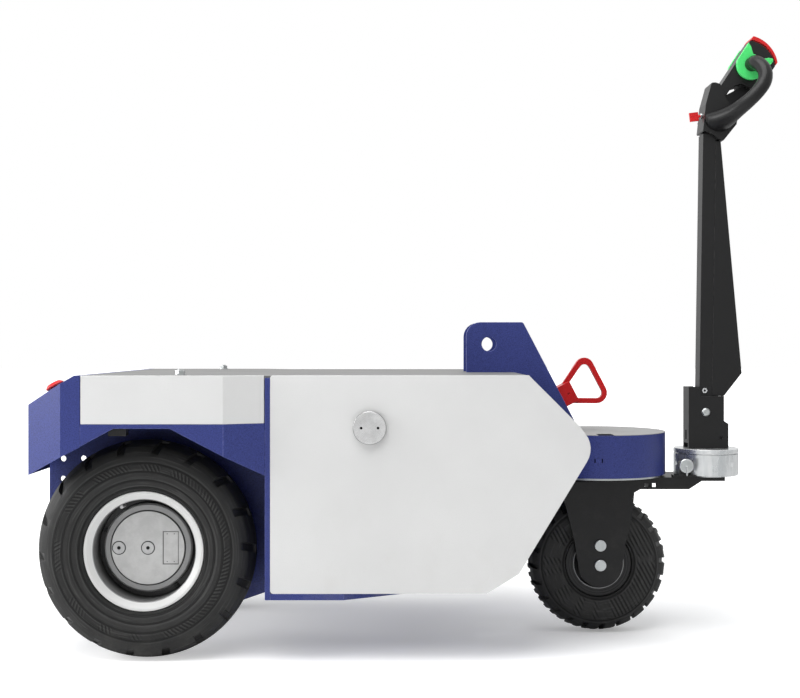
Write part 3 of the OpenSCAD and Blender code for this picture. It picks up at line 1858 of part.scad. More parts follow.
power_plug();
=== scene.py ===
import math

import bmesh
import bpy
from mathutils import Matrix, Vector


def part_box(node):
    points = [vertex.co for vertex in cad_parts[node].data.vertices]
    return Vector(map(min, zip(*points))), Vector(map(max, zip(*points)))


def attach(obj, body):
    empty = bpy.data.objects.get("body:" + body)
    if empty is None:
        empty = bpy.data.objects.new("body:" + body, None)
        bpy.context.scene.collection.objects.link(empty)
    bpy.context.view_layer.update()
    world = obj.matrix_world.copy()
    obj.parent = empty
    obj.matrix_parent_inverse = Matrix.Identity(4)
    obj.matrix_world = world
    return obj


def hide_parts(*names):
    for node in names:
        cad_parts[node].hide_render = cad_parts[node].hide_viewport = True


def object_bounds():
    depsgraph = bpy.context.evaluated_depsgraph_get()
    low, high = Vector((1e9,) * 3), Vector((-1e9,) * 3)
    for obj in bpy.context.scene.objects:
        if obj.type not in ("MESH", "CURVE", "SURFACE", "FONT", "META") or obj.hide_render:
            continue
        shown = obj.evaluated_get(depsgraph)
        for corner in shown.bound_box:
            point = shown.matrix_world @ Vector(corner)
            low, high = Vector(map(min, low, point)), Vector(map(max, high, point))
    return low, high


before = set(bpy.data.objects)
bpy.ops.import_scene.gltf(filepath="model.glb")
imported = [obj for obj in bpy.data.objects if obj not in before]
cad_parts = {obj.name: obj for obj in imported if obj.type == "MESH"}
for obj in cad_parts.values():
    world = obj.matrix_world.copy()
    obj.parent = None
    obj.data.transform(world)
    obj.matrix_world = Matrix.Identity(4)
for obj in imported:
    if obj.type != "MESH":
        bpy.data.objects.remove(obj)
cad_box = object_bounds()
scene = bpy.context.scene

# Camera: 2.6 m from the middle of the tug on its right side and 5 cm above the deck. It looks
# level, so the uprights stay upright, and the horizon lies just above the middle of the picture.
from_fascia = 0.691
from_middle = 2.625
lens_height = 0.594
picture_width = 800
horizon_above_middle = 3
camera = bpy.data.objects.new("camera", bpy.data.cameras.new("camera"))
scene.collection.objects.link(camera)
camera.location = (cad_box[0].x + from_fascia, -from_middle, lens_height)
camera.rotation_euler = (math.radians(90), 0, 0)
camera.data.sensor_width = 36
camera.data.lens = 56.25
camera.data.shift_y = -horizon_above_middle / picture_width
camera.data.clip_end = 60
scene.camera = camera
scene.view_settings.view_transform = "Standard"


# Floor pan, bulkhead and wheel-well plates: steel plate cut and welded to one chassis, then
# powder coated in blue. The coat has a fine orange peel and holds dust low down. Its edges are
# lighter, partly from worn paint and partly as a painted highlight.
def add_node(tree, kind, settings, inputs, output=0):
    """Adds a node to a tree, sets or links its inputs, and gives one of its outputs."""
    made = tree.nodes.new(kind)
    for name, setting in settings.items():
        setattr(made, name, setting)
    for name, value in inputs.items():
        socket = made.inputs[name]
        if isinstance(value, bpy.types.NodeSocket):
            tree.links.new(value, socket)
        elif socket.type == "RGBA":
            socket.default_value = (*value, 1)
        else:
            socket.default_value = value
    return made.outputs[output]


class Value:
    """A number in a material's node tree; arithmetic on it adds Math nodes."""

    def __init__(self, finish, socket):
        self.finish = finish
        self.socket = socket

    def math(self, operation, *others):
        return self.finish.node(
            "ShaderNodeMath", {"operation": operation}, dict(enumerate((self, *others)))
        )

    def __add__(self, other):
        return self.math("ADD", other)

    __radd__ = __add__

    def __mul__(self, other):
        return self.math("MULTIPLY", other)

    def __sub__(self, other):
        return self.math("SUBTRACT", other)

    def __rsub__(self, other):
        return self.math("MULTIPLY", -1.0).math("ADD", other)

    def __pow__(self, other):
        return self.math("POWER", other)

    def clip(self):
        return self.math("MAXIMUM", 0.0).math("MINIMUM", 1.0)

    def ramp(self, low, high):
        """0 below low, 1 above high, and a smooth step between them."""
        return self.finish.node(
            "ShaderNodeMapRange",
            {"interpolation_type": "SMOOTHSTEP"},
            {"Value": self, "From Min": low, "From Max": high},
        )


class Finish:
    """A material, opened for its nodes."""

    def __init__(self, name):
        self.material = bpy.data.materials.new(name)
        self.material.use_nodes = True
        self.tree = self.material.node_tree
        self.tree.nodes.clear()
        self.place = self.node("ShaderNodeTexCoord", {}, {}, "Object")
        parts = self.tree.nodes.new("ShaderNodeSeparateXYZ")
        self.tree.links.new(self.place.socket, parts.inputs[0])
        self.x, self.y, self.z = [Value(self, out) for out in parts.outputs]

    def node(self, kind, settings, inputs, output=0):
        sockets = {
            name: value.socket if isinstance(value, Value) else value
            for name, value in inputs.items()
        }
        return Value(self, add_node(self.tree, kind, settings, sockets, output))

    def stretched(self, stretch):
        """Object coordinates with each axis multiplied by its factor."""
        return self.node("ShaderNodeMapping", {}, {0: self.place, "Scale": stretch})

    def noise(self, scale, detail=2.0, rough=0.5, at=None):
        return self.node(
            "ShaderNodeTexNoise",
            {},
            {"Vector": at or self.place, "Scale": scale, "Detail": detail, "Roughness": rough},
        )

    def blend(self, share, a, b):
        """Colour a where share is 0 and colour b where it is 1, on the node's colour sockets."""
        return self.node("ShaderNodeMix", {"data_type": "RGBA"}, {0: share, 6: a, 7: b}, 2)

    def bump(self, height, depth, under=None):
        inputs = {"Height": height, "Distance": depth, "Strength": 1.0}
        if under:
            inputs["Normal"] = under
        return self.node("ShaderNodeBump", {}, inputs)

    def edge(self):
        """1 on the rounded edges of a piece and 0 on its faces."""
        return self.node("ShaderNodeAttribute", {"attribute_name": "edge"}, {}, "Fac")

    def ring(self, x, z):
        """Distance from an axis along Y through (x, z)."""
        across = self.x - x
        up = self.z - z
        return (across * across + up * up) ** 0.5

    def show(self, shader):
        out = self.tree.nodes.new("ShaderNodeOutputMaterial")
        self.tree.links.new(shader.socket, out.inputs[0])
        return self.material

    def close(self, **sockets):
        """Ends the material with one shader, whose sockets are named with underscores."""
        return self.show(self.node(
            "ShaderNodeBsdfPrincipled",
            {},
            {name.replace("_", " "): value for name, value in sockets.items()},
        ))


def tinted(colour, factor):
    return tuple(c * factor for c in colour)


def powder_coat(name, colour, rubbed_and_highlit, dust, rough, peel, shine, speckle):
    """Paint with an orange peel of the given depth, lighter edges that are partly wear and partly a
    painted highlight, and dust near the ground.
    """
    f = Finish(name)
    cloud = f.noise(3.1, 4.0, 0.6)
    grain = f.noise(560.0, 2.0, 0.6)
    scuff = f.noise(46.0, 6.0, 0.72, f.stretched((0.35, 1, 1.6)))
    paint = f.blend(cloud.ramp(0.3, 0.72), tinted(colour, 0.96), tinted(colour, 1.04))
    paint = f.blend(grain.ramp(0.52, 0.70) * 0.6, paint, tinted(colour, 1 + speckle))
    paint = f.blend(1 - grain.ramp(0.32, 0.50), paint, tinted(colour, 1 - speckle))
    edge = f.edge() * f.noise(130.0, 3.0, 0.7).ramp(0.34, 0.66)
    # The rounded edges turn a lighter colour in patches: partly worn paint, partly a painted
    # highlight.
    paint = f.blend(edge * 0.6, paint, rubbed_and_highlit)
    low_down = 1 - f.z.ramp(0.10, 0.42)
    grime = low_down * f.noise(17.0, 5.0, 0.65).ramp(0.46, 0.78) * 0.16
    streak = scuff.ramp(0.68, 0.84) * 0.05
    paint = f.blend((grime + streak).clip(), paint, dust)
    bumped = f.bump(f.noise(420.0), peel, f.bump(grain, peel * 0.25))
    worn_rough = rough + (cloud - 0.5) * 0.10 + grime * 0.5 + streak * 1.6 + edge * 0.10
    return f.close(
        Base_Color=paint, Roughness=worn_rough, Normal=bumped, IOR=1.5, Specular_IOR_Level=shine
    )


def round_edges(shell, edge, steps, fold=28):
    """Rounds the edges that turn by more than fold degrees and marks the new faces as edge."""
    worn = shell.faces.layers.float.new("edge")
    sharp = [e for e in shell.edges if e.is_manifold and e.calc_face_angle(0) > math.radians(fold)]
    rounded = bmesh.ops.bevel(
        shell, geom=sharp, offset=edge, segments=steps, profile=0.5, affect="EDGES", clamp_overlap=True
    )
    for face in rounded["faces"]:
        face[worn] = 1.0


def place(shell, name, body, slot, finish, *nodes):
    """Turns a mesh that stands in the shared frame into a piece that stands for the nodes."""
    bmesh.ops.triangulate(shell, faces=[f for f in shell.faces if len(f.verts) > 4])
    for face in shell.faces:
        face.smooth = True
    mesh = bpy.data.meshes.new(name)
    shell.to_mesh(mesh)
    shell.free()
    mesh.set_sharp_from_angle(angle=math.radians(34))
    mesh.materials.append(finish)
    piece = bpy.data.objects.new(name, mesh)
    scene.collection.objects.link(piece)
    weighted = piece.modifiers.new("weighted", "WEIGHTED_NORMAL")
    weighted.keep_sharp = True
    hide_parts(*nodes)
    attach(piece, body)
    return piece


def softened(node, body, slot, finish, edge=0.0009, steps=2, keep=None, fold=28):
    """A welded copy of a CAD node with its sharp edges rounded, which stands for that node."""
    weld = 2e-6
    coplanar = math.radians(0.6)
    shell = bmesh.new()
    shell.from_mesh(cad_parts[node].data)
    bmesh.ops.remove_doubles(shell, verts=shell.verts, dist=weld)
    bmesh.ops.dissolve_degenerate(shell, edges=shell.edges, dist=weld / 2)
    if keep:
        bmesh.ops.delete(shell, geom=[v for v in shell.verts if not keep(v.co)], context="VERTS")
    bmesh.ops.dissolve_limit(shell, angle_limit=coplanar, verts=shell.verts, edges=shell.edges)
    if edge:
        round_edges(shell, edge, steps, fold)
    return place(shell, node + "_skin", body, slot, finish, node)


blue_paint = powder_coat(
    "blue_powder_coat",
    colour=(0.031, 0.043, 0.188), rubbed_and_highlit=(0.13, 0.15, 0.36), dust=(0.30, 0.29, 0.27),
    rough=0.42, peel=0.00006, shine=0.26, speckle=0.42,
)
for node in ("floor_pan", "bulkhead", "well_plate_left", "well_plate_right"):
    softened(node, "chassis", "paint_blue", blue_paint)

# Fascia: one sheet folded to a sloped top with bevelled corners, left open under its edge
# for the hitch bay; it is welded to the well plates and coated with them.
softened("fascia", "chassis", "paint_blue", blue_paint, edge=0.0012, steps=3)

# Arch skirts: folded side plates with the wheel arch cut out, screwed between the fascia and
# the bulkhead.
shallow_fold = 12
for side in ("left", "right"):
    softened("arch_skirt_" + side, "chassis", "paint_blue", blue_paint, fold=shallow_fold)

# Tow cheeks and nose plate: tall plates on the floor pan that form the lug for the tow pin
# and run to the steering head, with the sloped plate for the connector welded between them.
for node in ("tow_cheek_left", "tow_cheek_right", "nose_plate"):
    softened(node, "chassis", "paint_blue", blue_paint)

# Nose covers: boxes of folded sheet, coated like the frame. One at each side, behind the nose of
# the white panel, closes the battery bay in front.
for side in ("left", "right"):
    softened("nose_cover_" + side, "chassis", "paint_blue", blue_paint)

# Steering head: a short drum rolled from plate round the slewing bearing. It is welded to the
# tow cheeks and coated with them.
softened("head_drum", "chassis", "paint_blue", blue_paint, edge=0.0007)

# Wheel covers: white folded sheet over the drive wheels, with returns at both ends, in a
# smoother and glossier coat than the frame.
white_paint = powder_coat(
    "white_powder_coat",
    colour=(0.66, 0.66, 0.655), rubbed_and_highlit=(0.62, 0.62, 0.60), dust=(0.52, 0.50, 0.47),
    rough=0.36, peel=0.00003, shine=0.35, speckle=0.02,
)
for side in ("left", "right"):
    softened(
        "wheel_cover_" + side, "chassis", "paint_white", white_paint,
        edge=0.0014, steps=3, fold=shallow_fold,
    )

# Battery side panels: shallow trays of white sheet with folded rims. One hangs over the battery
# bay on each side and is held by its round lock.
for side in ("left", "right"):
    softened("side_panel_" + side, "chassis", "paint_white", white_paint, edge=0.0016, steps=3)

# Deck plate and head cover: grey sheet, brushed along its length and trodden dull. The deck plate
# is bolted down over the battery bay, and the other closes the steering head from above.
def brushed_sheet(name, grey):
    f = Finish(name)
    brushed = f.noise(60.0, 3.0, 0.6, f.stretched((0.6, 14, 14)))
    trodden = f.noise(7.0, 5.0, 0.7)
    tone = f.blend(brushed.ramp(0.25, 0.75), tinted(grey, 0.88), tinted(grey, 1.10))
    tone = f.blend(trodden.ramp(0.45, 0.78) * 0.35, tone, tinted(grey, 0.72))
    # The rounded edges are lightened: a painted highlight.
    tone = f.blend(f.edge() * 0.5, tone, (0.56, 0.56, 0.56))
    return f.close(
        Base_Color=tone,
        Roughness=0.42 + brushed * 0.12 + trodden * 0.14,
        Metallic=0.25,
        Normal=f.bump(brushed, 0.00003),
        Specular_IOR_Level=0.25,
    )


deck_grey = brushed_sheet("deck_grey", (0.185, 0.185, 0.182))
cover_grey = brushed_sheet("cover_grey", (0.31, 0.31, 0.305))
softened("deck_plate", "chassis", "deck_paint", deck_grey, edge=0.0007)
softened("head_cover", "chassis", "deck_paint", cover_grey, edge=0.0004)


# Deck bolts: zinc-plated hexagon bolts on turned washers, one at each side of the deck. Their
# heads stand at chance angles, as the spanner left them.
def plated(name, tone, rough, bare_and_highlit=(0.70, 0.71, 0.72)):
    f = Finish(name)
    cloud = f.noise(34.0, 4.0, 0.6)
    spangle = f.node("ShaderNodeTexVoronoi", {}, {"Vector": f.place, "Scale": 260.0}, "Color")
    spangle = f.node("ShaderNodeSeparateColor", {}, {0: spangle})
    smear = f.noise(70.0, 5.0, 0.7, f.stretched((1, 1, 0.2)))
    now = f.blend(cloud.ramp(0.3, 0.7), tinted(tone, 0.88), tinted(tone, 1.10))
    now = f.blend(spangle * 0.22, now, tinted(tone, 0.80))
    # The rounded edges turn lighter: partly bare metal where the plating is worn, partly a painted
    # highlight.
    now = f.blend(f.edge() * 0.6, now, bare_and_highlit)
    return f.close(
        Base_Color=now,
        Metallic=0.92,
        Roughness=rough + (smear - 0.5) * 0.22 + spangle * 0.06,
        Normal=f.bump(smear, 0.00003),
    )


def fastener_tree():
    """Hexagons on washers, in a ring about +Z: named inputs give the count and the sizes."""
    tree = bpy.data.node_groups.new("fastener_ring", "GeometryNodeTree")
    for name, kind, value in (
        ("Count", "Int", 2), ("Ring Radius", "Float", 0.1), ("Start Angle", "Float", 0.0),
        ("Flats", "Float", 0.01), ("Head Height", "Float", 0.01), ("Sides", "Int", 6),
        ("Washer Radius", "Float", 0.01), ("Washer Height", "Float", 0.001),
        ("Stud Radius", "Float", 0.003), ("Stud Length", "Float", 0.001),
    ):
        size = tree.interface.new_socket(name, in_out="INPUT", socket_type="NodeSocket" + kind)
        size.default_value = value
    tree.interface.new_socket("Finish", in_out="INPUT", socket_type="NodeSocketMaterial")
    tree.interface.new_socket("Geometry", in_out="OUTPUT", socket_type="NodeSocketGeometry")
    given = tree.nodes.new("NodeGroupInput").outputs

    def add(kind, inputs, output=0, **settings):
        return add_node(tree, kind, settings, inputs, output)

    def maths(operation, *values):
        return add("ShaderNodeMath", dict(enumerate(values)), operation=operation)

    def disc(sides, radius, height, base):
        drum = add("GeometryNodeMeshCylinder", {"Vertices": sides, "Radius": radius, "Depth": height})
        middle = maths("ADD", maths("MULTIPLY", height, 0.5), base)
        lift = add("ShaderNodeCombineXYZ", {"Z": middle})
        return add("GeometryNodeTransform", {"Geometry": drum, "Translation": lift})

    washer = disc(40, given["Washer Radius"], given["Washer Height"], 0.0)
    corner = maths("DIVIDE", given["Flats"], 2 * math.cos(math.radians(30)))
    head = disc(given["Sides"], corner, given["Head Height"], given["Washer Height"])
    head_top = maths("ADD", given["Washer Height"], given["Head Height"])
    stud = disc(24, given["Stud Radius"], given["Stud Length"], head_top)
    whole = add("GeometryNodeJoinGeometry", {})
    for part in (washer, head, stud):
        tree.links.new(part, whole.node.inputs[0])

    index = add("GeometryNodeInputIndex", {})
    turn = maths("DIVIDE", maths("MULTIPLY", index, 2 * math.pi), given["Count"])
    turn = maths("ADD", turn, given["Start Angle"])
    spot = add("ShaderNodeCombineXYZ", {
        "X": maths("MULTIPLY", maths("COSINE", turn), given["Ring Radius"]),
        "Y": maths("MULTIPLY", maths("SINE", turn), given["Ring Radius"]),
    })
    points = add("GeometryNodePoints", {"Count": given["Count"], "Position": spot})
    least = 0.0
    most = 1.05
    chance = {2: least, 3: most, "ID": index, "Seed": 11}
    tightened = add("FunctionNodeRandomValue", chance, 1, data_type="FLOAT")
    set_turn = add("ShaderNodeCombineXYZ", {"Z": tightened})
    heads = add(
        "GeometryNodeInstanceOnPoints", {"Points": points, "Instance": whole, "Rotation": set_turn}
    )
    solid = add("GeometryNodeRealizeInstances", {"Geometry": heads})
    dressed = add("GeometryNodeSetMaterial", {"Geometry": solid, "Material": given["Finish"]})
    tree.links.new(dressed, tree.nodes.new("NodeGroupOutput").inputs["Geometry"])
    return tree


fastener_ring = fastener_tree()
fastener_sockets = {
    item.name: item.identifier
    for item in fastener_ring.interface.items_tree
    if item.in_out == "INPUT"
}


def fasteners(name, body, slot, finish, node, at, edge, sizes):
    """A ring of fasteners of the given sizes as one plain mesh, placed and turned by at."""
    seed = bpy.data.objects.new("seed", bpy.data.meshes.new("seed"))
    scene.collection.objects.link(seed)
    grown = seed.modifiers.new("ring", "NODES")
    grown.node_group = fastener_ring
    grown[fastener_sockets["Finish"]] = finish
    for size, value in sizes.items():
        grown[fastener_sockets[size]] = value
    made = bpy.data.meshes.new_from_object(
        seed.evaluated_get(bpy.context.evaluated_depsgraph_get())
    )
    made.transform(at)
    shell = bmesh.new()
    shell.from_mesh(made)
    bpy.data.objects.remove(seed)
    bpy.data.meshes.remove(made)
    bmesh.ops.recalc_face_normals(shell, faces=shell.faces)
    round_edges(shell, edge, 2)
    return place(shell, name, body, slot, finish, node)


zinc = plated("zinc_plate", (0.43, 0.45, 0.45), rough=0.32)
low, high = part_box("deck_bolts")
fasteners(
    "deck_bolt_heads", "chassis", "zinc_steel", zinc, "deck_bolts",
    Matrix.Translation(((low.x + high.x) / 2, 0, low.z)), 0.0005,
    {
        "Count": 2, "Ring Radius": (high.y - low.y) / 2 - 0.0105, "Start Angle": math.pi / 2,
        "Flats": 0.0165, "Head Height": 0.0065,
        "Washer Radius": 0.0104, "Washer Height": 0.002,
        "Stud Radius": 0.0048, "Stud Length": 0.0018,
    },
)


# Panel locks: turned aluminium discs with two spanner holes, one on each battery panel. The
# lathe leaves fine rings around their centre, and a darker line runs near their edge. The
# spanner holes are filled with painted shade.
def turned(name, x, z, tone, pitch, rough, metallic, marks=None):
    """Metal with lathe rings about an axis along Y through (x, z), and marks laid over its tone."""
    f = Finish(name)
    radius = f.ring(x, z)
    rings = (radius * pitch).math("SINE")
    cloud = f.noise(45.0, 4.0, 0.6)
    now = f.blend(cloud.ramp(0.3, 0.7), tinted(tone, 0.9), tinted(tone, 1.06))
    # The rounded edges are lightened by a fifth: a painted highlight.
    now = f.blend(f.edge() * 0.6, now, tinted(tone, 1.2))
    if marks:
        now = marks(f, now)
    return f.close(
        Base_Color=now,
        Metallic=metallic,
        Roughness=rough + rings * 0.05 + (cloud - 0.5) * 0.12,
        Normal=f.bump(rings, 0.00001),
        Specular_IOR_Level=0.25,
    )


def band(f, now, x, z, radius, width, tone):
    """A ring of another tone round the axis through (x, z), or a dot where radius is 0."""
    soft = 0.0005
    away = (f.ring(x, z) - radius).math("ABSOLUTE")
    return f.blend(1 - away.ramp(width / 2, width / 2 + soft), now, tone)


hole_shade = (0.008, 0.008, 0.008)
low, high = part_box("panel_locks")
lock = (low + high) / 2


def lock_marks(f, now):
    spanner_reach = 0.0155
    # Each spanner hole is painted near black: painted shade inside the hole.
    for side in (-1, 1):
        hole_x = lock.x + side * spanner_reach
        now = band(f, now, hole_x, lock.z, radius=0.0, width=0.0046, tone=hole_shade)
    return band(f, now, lock.x, lock.z, radius=0.0305, width=0.0010, tone=(0.30, 0.30, 0.30))


lock_metal = turned(
    "turned_aluminium", lock.x, lock.z, (0.60, 0.60, 0.60),
    pitch=2600.0, rough=0.30, metallic=0.95, marks=lock_marks,
)
softened("panel_locks", "chassis", "turned_aluminium", lock_metal, edge=0.0005)

# Cover brackets: angles of folded sheet, coated black and screwed inside the wheel covers at
# the top of each arch.
black_paint = powder_coat(
    "black_powder_coat",
    colour=(0.0085, 0.0085, 0.0088), rubbed_and_highlit=(0.05, 0.05, 0.05), dust=(0.09, 0.085, 0.08),
    rough=0.40, peel=0.00005, shine=0.25, speckle=0.20,
)
softened("cover_brackets", "chassis", "paint_black", black_paint)


# Batteries: two cases moulded in dark plastic, which stand side by side in the bay with their
# terminal posts on top.
def moulded(name, colour, rough, grain, depth, worn_and_highlit):
    """Moulded or cast stuff: grain gives the fineness of its texture and depth its relief."""
    f = Finish(name)
    texture = f.noise(grain, 2.0, 0.55)
    cloud = f.noise(11.0, 4.0, 0.6)
    tone = f.blend(cloud.ramp(0.3, 0.7), tinted(colour, 0.93), tinted(colour, 1.07))
    tone = f.blend(texture.ramp(0.35, 0.8) * 0.22, tone, tinted(colour, 1.35))
    # The rounded edges take a lighter colour: partly wear, partly a painted highlight.
    tone = f.blend(f.edge() * 0.35, tone, worn_and_highlit)
    return f.close(
        Base_Color=tone,
        Roughness=rough + (cloud - 0.5) * 0.12 + (texture - 0.5) * 0.08,
        Normal=f.bump(texture, depth),
        IOR=1.47,
        Specular_IOR_Level=0.30,
    )


battery_case = moulded(
    "battery_case", (0.035, 0.038, 0.043),
    rough=0.55, grain=300.0, depth=0.00003, worn_and_highlit=(0.10, 0.10, 0.10),
)
softened("batteries", "chassis", "battery_case", battery_case, edge=0.0015)

# Motor controller: a case of extruded aluminium with cooling fins, bolted to the bulkhead
# above the batteries.
controller_case = moulded(
    "controller_case", (0.11, 0.12, 0.13),
    rough=0.45, grain=900.0, depth=0.00002, worn_and_highlit=(0.45, 0.45, 0.45),
)
softened("motor_controller", "chassis", "controller_case", controller_case, edge=0.0006)

# Drive units: cast gear housings, each with its motor and brake in one line, bolted to the
# wheel-well plates.
dark_cast = moulded(
    "dark_casting", (0.055, 0.058, 0.060),
    rough=0.62, grain=420.0, depth=0.00012, worn_and_highlit=(0.2, 0.2, 0.2),
)
for side in ("left", "right"):
    softened("drive_unit_" + side, "chassis", "dark_cast", dark_cast, edge=0.0015)

# Emergency stop: a red mushroom button on a black collar, both moulded in plastic. The collar
# is clamped in the slope of the fascia.
red_plastic = moulded(
    "red_plastic", (0.56, 0.016, 0.018),
    rough=0.34, grain=500.0, depth=0.00002, worn_and_highlit=(0.75, 0.10, 0.09),
)
black_plastic = moulded(
    "black_plastic", (0.022, 0.022, 0.023),
    rough=0.42, grain=900.0, depth=0.00003, worn_and_highlit=(0.10, 0.10, 0.10),
)
softened("estop_button", "stop_mushroom", "red_plastic", red_plastic, edge=0.0010, steps=3)
softened("estop_base", "chassis", "black_plastic", black_plastic, edge=0.0006)

# Power connector: a socket behind the sloped plate and the plug with its pull handle, both
# moulded in deep red.
deep_red = moulded(
    "deep_red_plastic", (0.50, 0.003, 0.005),
    rough=0.32, grain=600.0, depth=0.00002, worn_and_highlit=(0.66, 0.04, 0.04),
)
softened("connector_socket", "chassis", "red_plastic", deep_red, edge=0.0006)
softened("power_plug", "connector_plug", "red_plastic", deep_red, edge=0.0015, steps=3)

# Drive tyres: moulded rubber with open grooves that run from the crown over both shoulders. The
# mould leaves low rings round the sidewall, fine flow marks, and patches of ribs. Each ring gets
# a line of painted shade with a line of painted highlight beside it, and the ribs get painted
# highlights on their crests and painted shade between them.
tyre_outline = (
    (0, 0.69), (0.11, 0.69), (0.125, 0.84), (0.18, 0.875), (0.195, 0.905), (0.36, 0.965),
    (0.375, 0.99), (0.55, 1.0), (0.69, 0.95), (0.79, 0.87), (0.865, 0.77), (0.9025, 0.70),
    (0.938, 0.49), (0.971, 0.28), (0.9925, 0.14), (1.0, 0.03), (1.0, 0.0),
)


def half_section(radius, half, bead, rings, crown):
    """Radius and half width down one side, with a low ring at each radius in rings.

    tyre_outline gives shares of the height over the bead and of the half width.
    """
    corners = [(bead + r * (radius - bead), w * half) for r, w in tyre_outline]
    line = [corners[0]]
    for (ra, wa), (rb, wb) in zip(corners, corners[1:]):
        line.append((ra * 0.75 + rb * 0.25, wa * 0.75 + wb * 0.25))
        line.append((ra * 0.25 + rb * 0.75, wa * 0.25 + wb * 0.75))
    line.append(corners[-1])

    def width_at(r):
        for (ra, wa), (rb, wb) in zip(line, line[1:]):
            if ra <= r <= rb and rb > ra:
                return wa + (wb - wa) * (r - ra) / (rb - ra)
        return line[-1][1]

    def radius_at(w):
        for (ra, wa), (rb, wb) in zip(line[::-1], line[-2::-1]):
            if wa <= w <= wb:
                return ra + (rb - ra) * (w - wa) / (wb - wa)
        return radius

    foot = 0.0016
    top = 0.0009
    rise = 0.0008
    sunk = 0.0004
    points = [p for p in line if all(abs(p[0] - r) > 0.0022 for r in rings)]
    for r in rings:
        for step, height in ((-foot, 0), (-top, rise), (top, rise), (foot, 0)):
            points.append((r + step, width_at(r + step) + height - sunk))
    for w in (crown - 0.0004, crown + 0.0004):
        points.append((radius_at(w), w))
    return sorted(points, key=lambda p: (round(p[0], 6), -p[1]))


def moulded_tyre(
    node, body, finish, radius, half, bead, lugs, groove, start, drop, tilt, slant, rings, cross=0.0
):
    """A tyre whose grooves on one side stand half a pitch from those on the other.

    The grooves begin at start beside the centre line, drop below the crown there, and fall by
    tilt towards the shoulder while they lean by slant. Those of both sides meet within cross.
    """
    low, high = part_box(node)
    centre = (low + high) / 2
    pitch = 2 * math.pi / lugs
    wall = 0.0006
    cuts = (-groove / 2 - wall, -groove / 2 + wall, groove / 2 - wall, groove / 2 + wall)
    columns = {}
    for lug in range(lugs):
        for outer in (0, 1):
            at = (lug + 0.5 * outer) * pitch
            for k, cut in enumerate(cuts):
                columns[round((at + cut / radius) % (2 * math.pi), 6)] = outer if k in (1, 2) else -1
            columns[round(at % (2 * math.pi), 6)] = outer
            for land in (0.16, 0.25, 0.34):
                columns.setdefault(round((at + land * pitch) % (2 * math.pi), 6), -1)
    order = sorted(columns)
    side = half_section(radius, half, bead, rings, start)
    rows = [(r, w, 0) for r, w in side] + [(r, w, 1) for r, w in side[-2::-1]]
    shell = bmesh.new()
    flip = -1 if centre.y < 0 else 1
    grid = []
    for r, w, far in rows:
        beyond = max(0.0, w - start)
        ring = []
        for at in order:
            own = columns[at] == (0 if far else 1) and w > start
            shared = columns[at] >= 0 and w < cross
            r_now = min(r, radius - drop - beyond * math.tan(tilt)) if own or shared else r
            turn = at - math.tan(slant) * beyond / r_now
            ring.append(shell.verts.new((
                centre.x + r_now * math.sin(turn),
                centre.y + flip * (-w if far else w),
                centre.z + r_now * math.cos(turn),
            )))
        grid.append(ring)
    for near, far in zip(grid, grid[1:] + grid[:1]):
        for k in range(len(order)):
            m = (k + 1) % len(order)
            shell.faces.new((near[k], near[m], far[m], far[k]))
    bmesh.ops.recalc_face_normals(shell, faces=shell.faces)
    return place(shell, node + "_moulded", body, "tyre_rubber", finish, node)


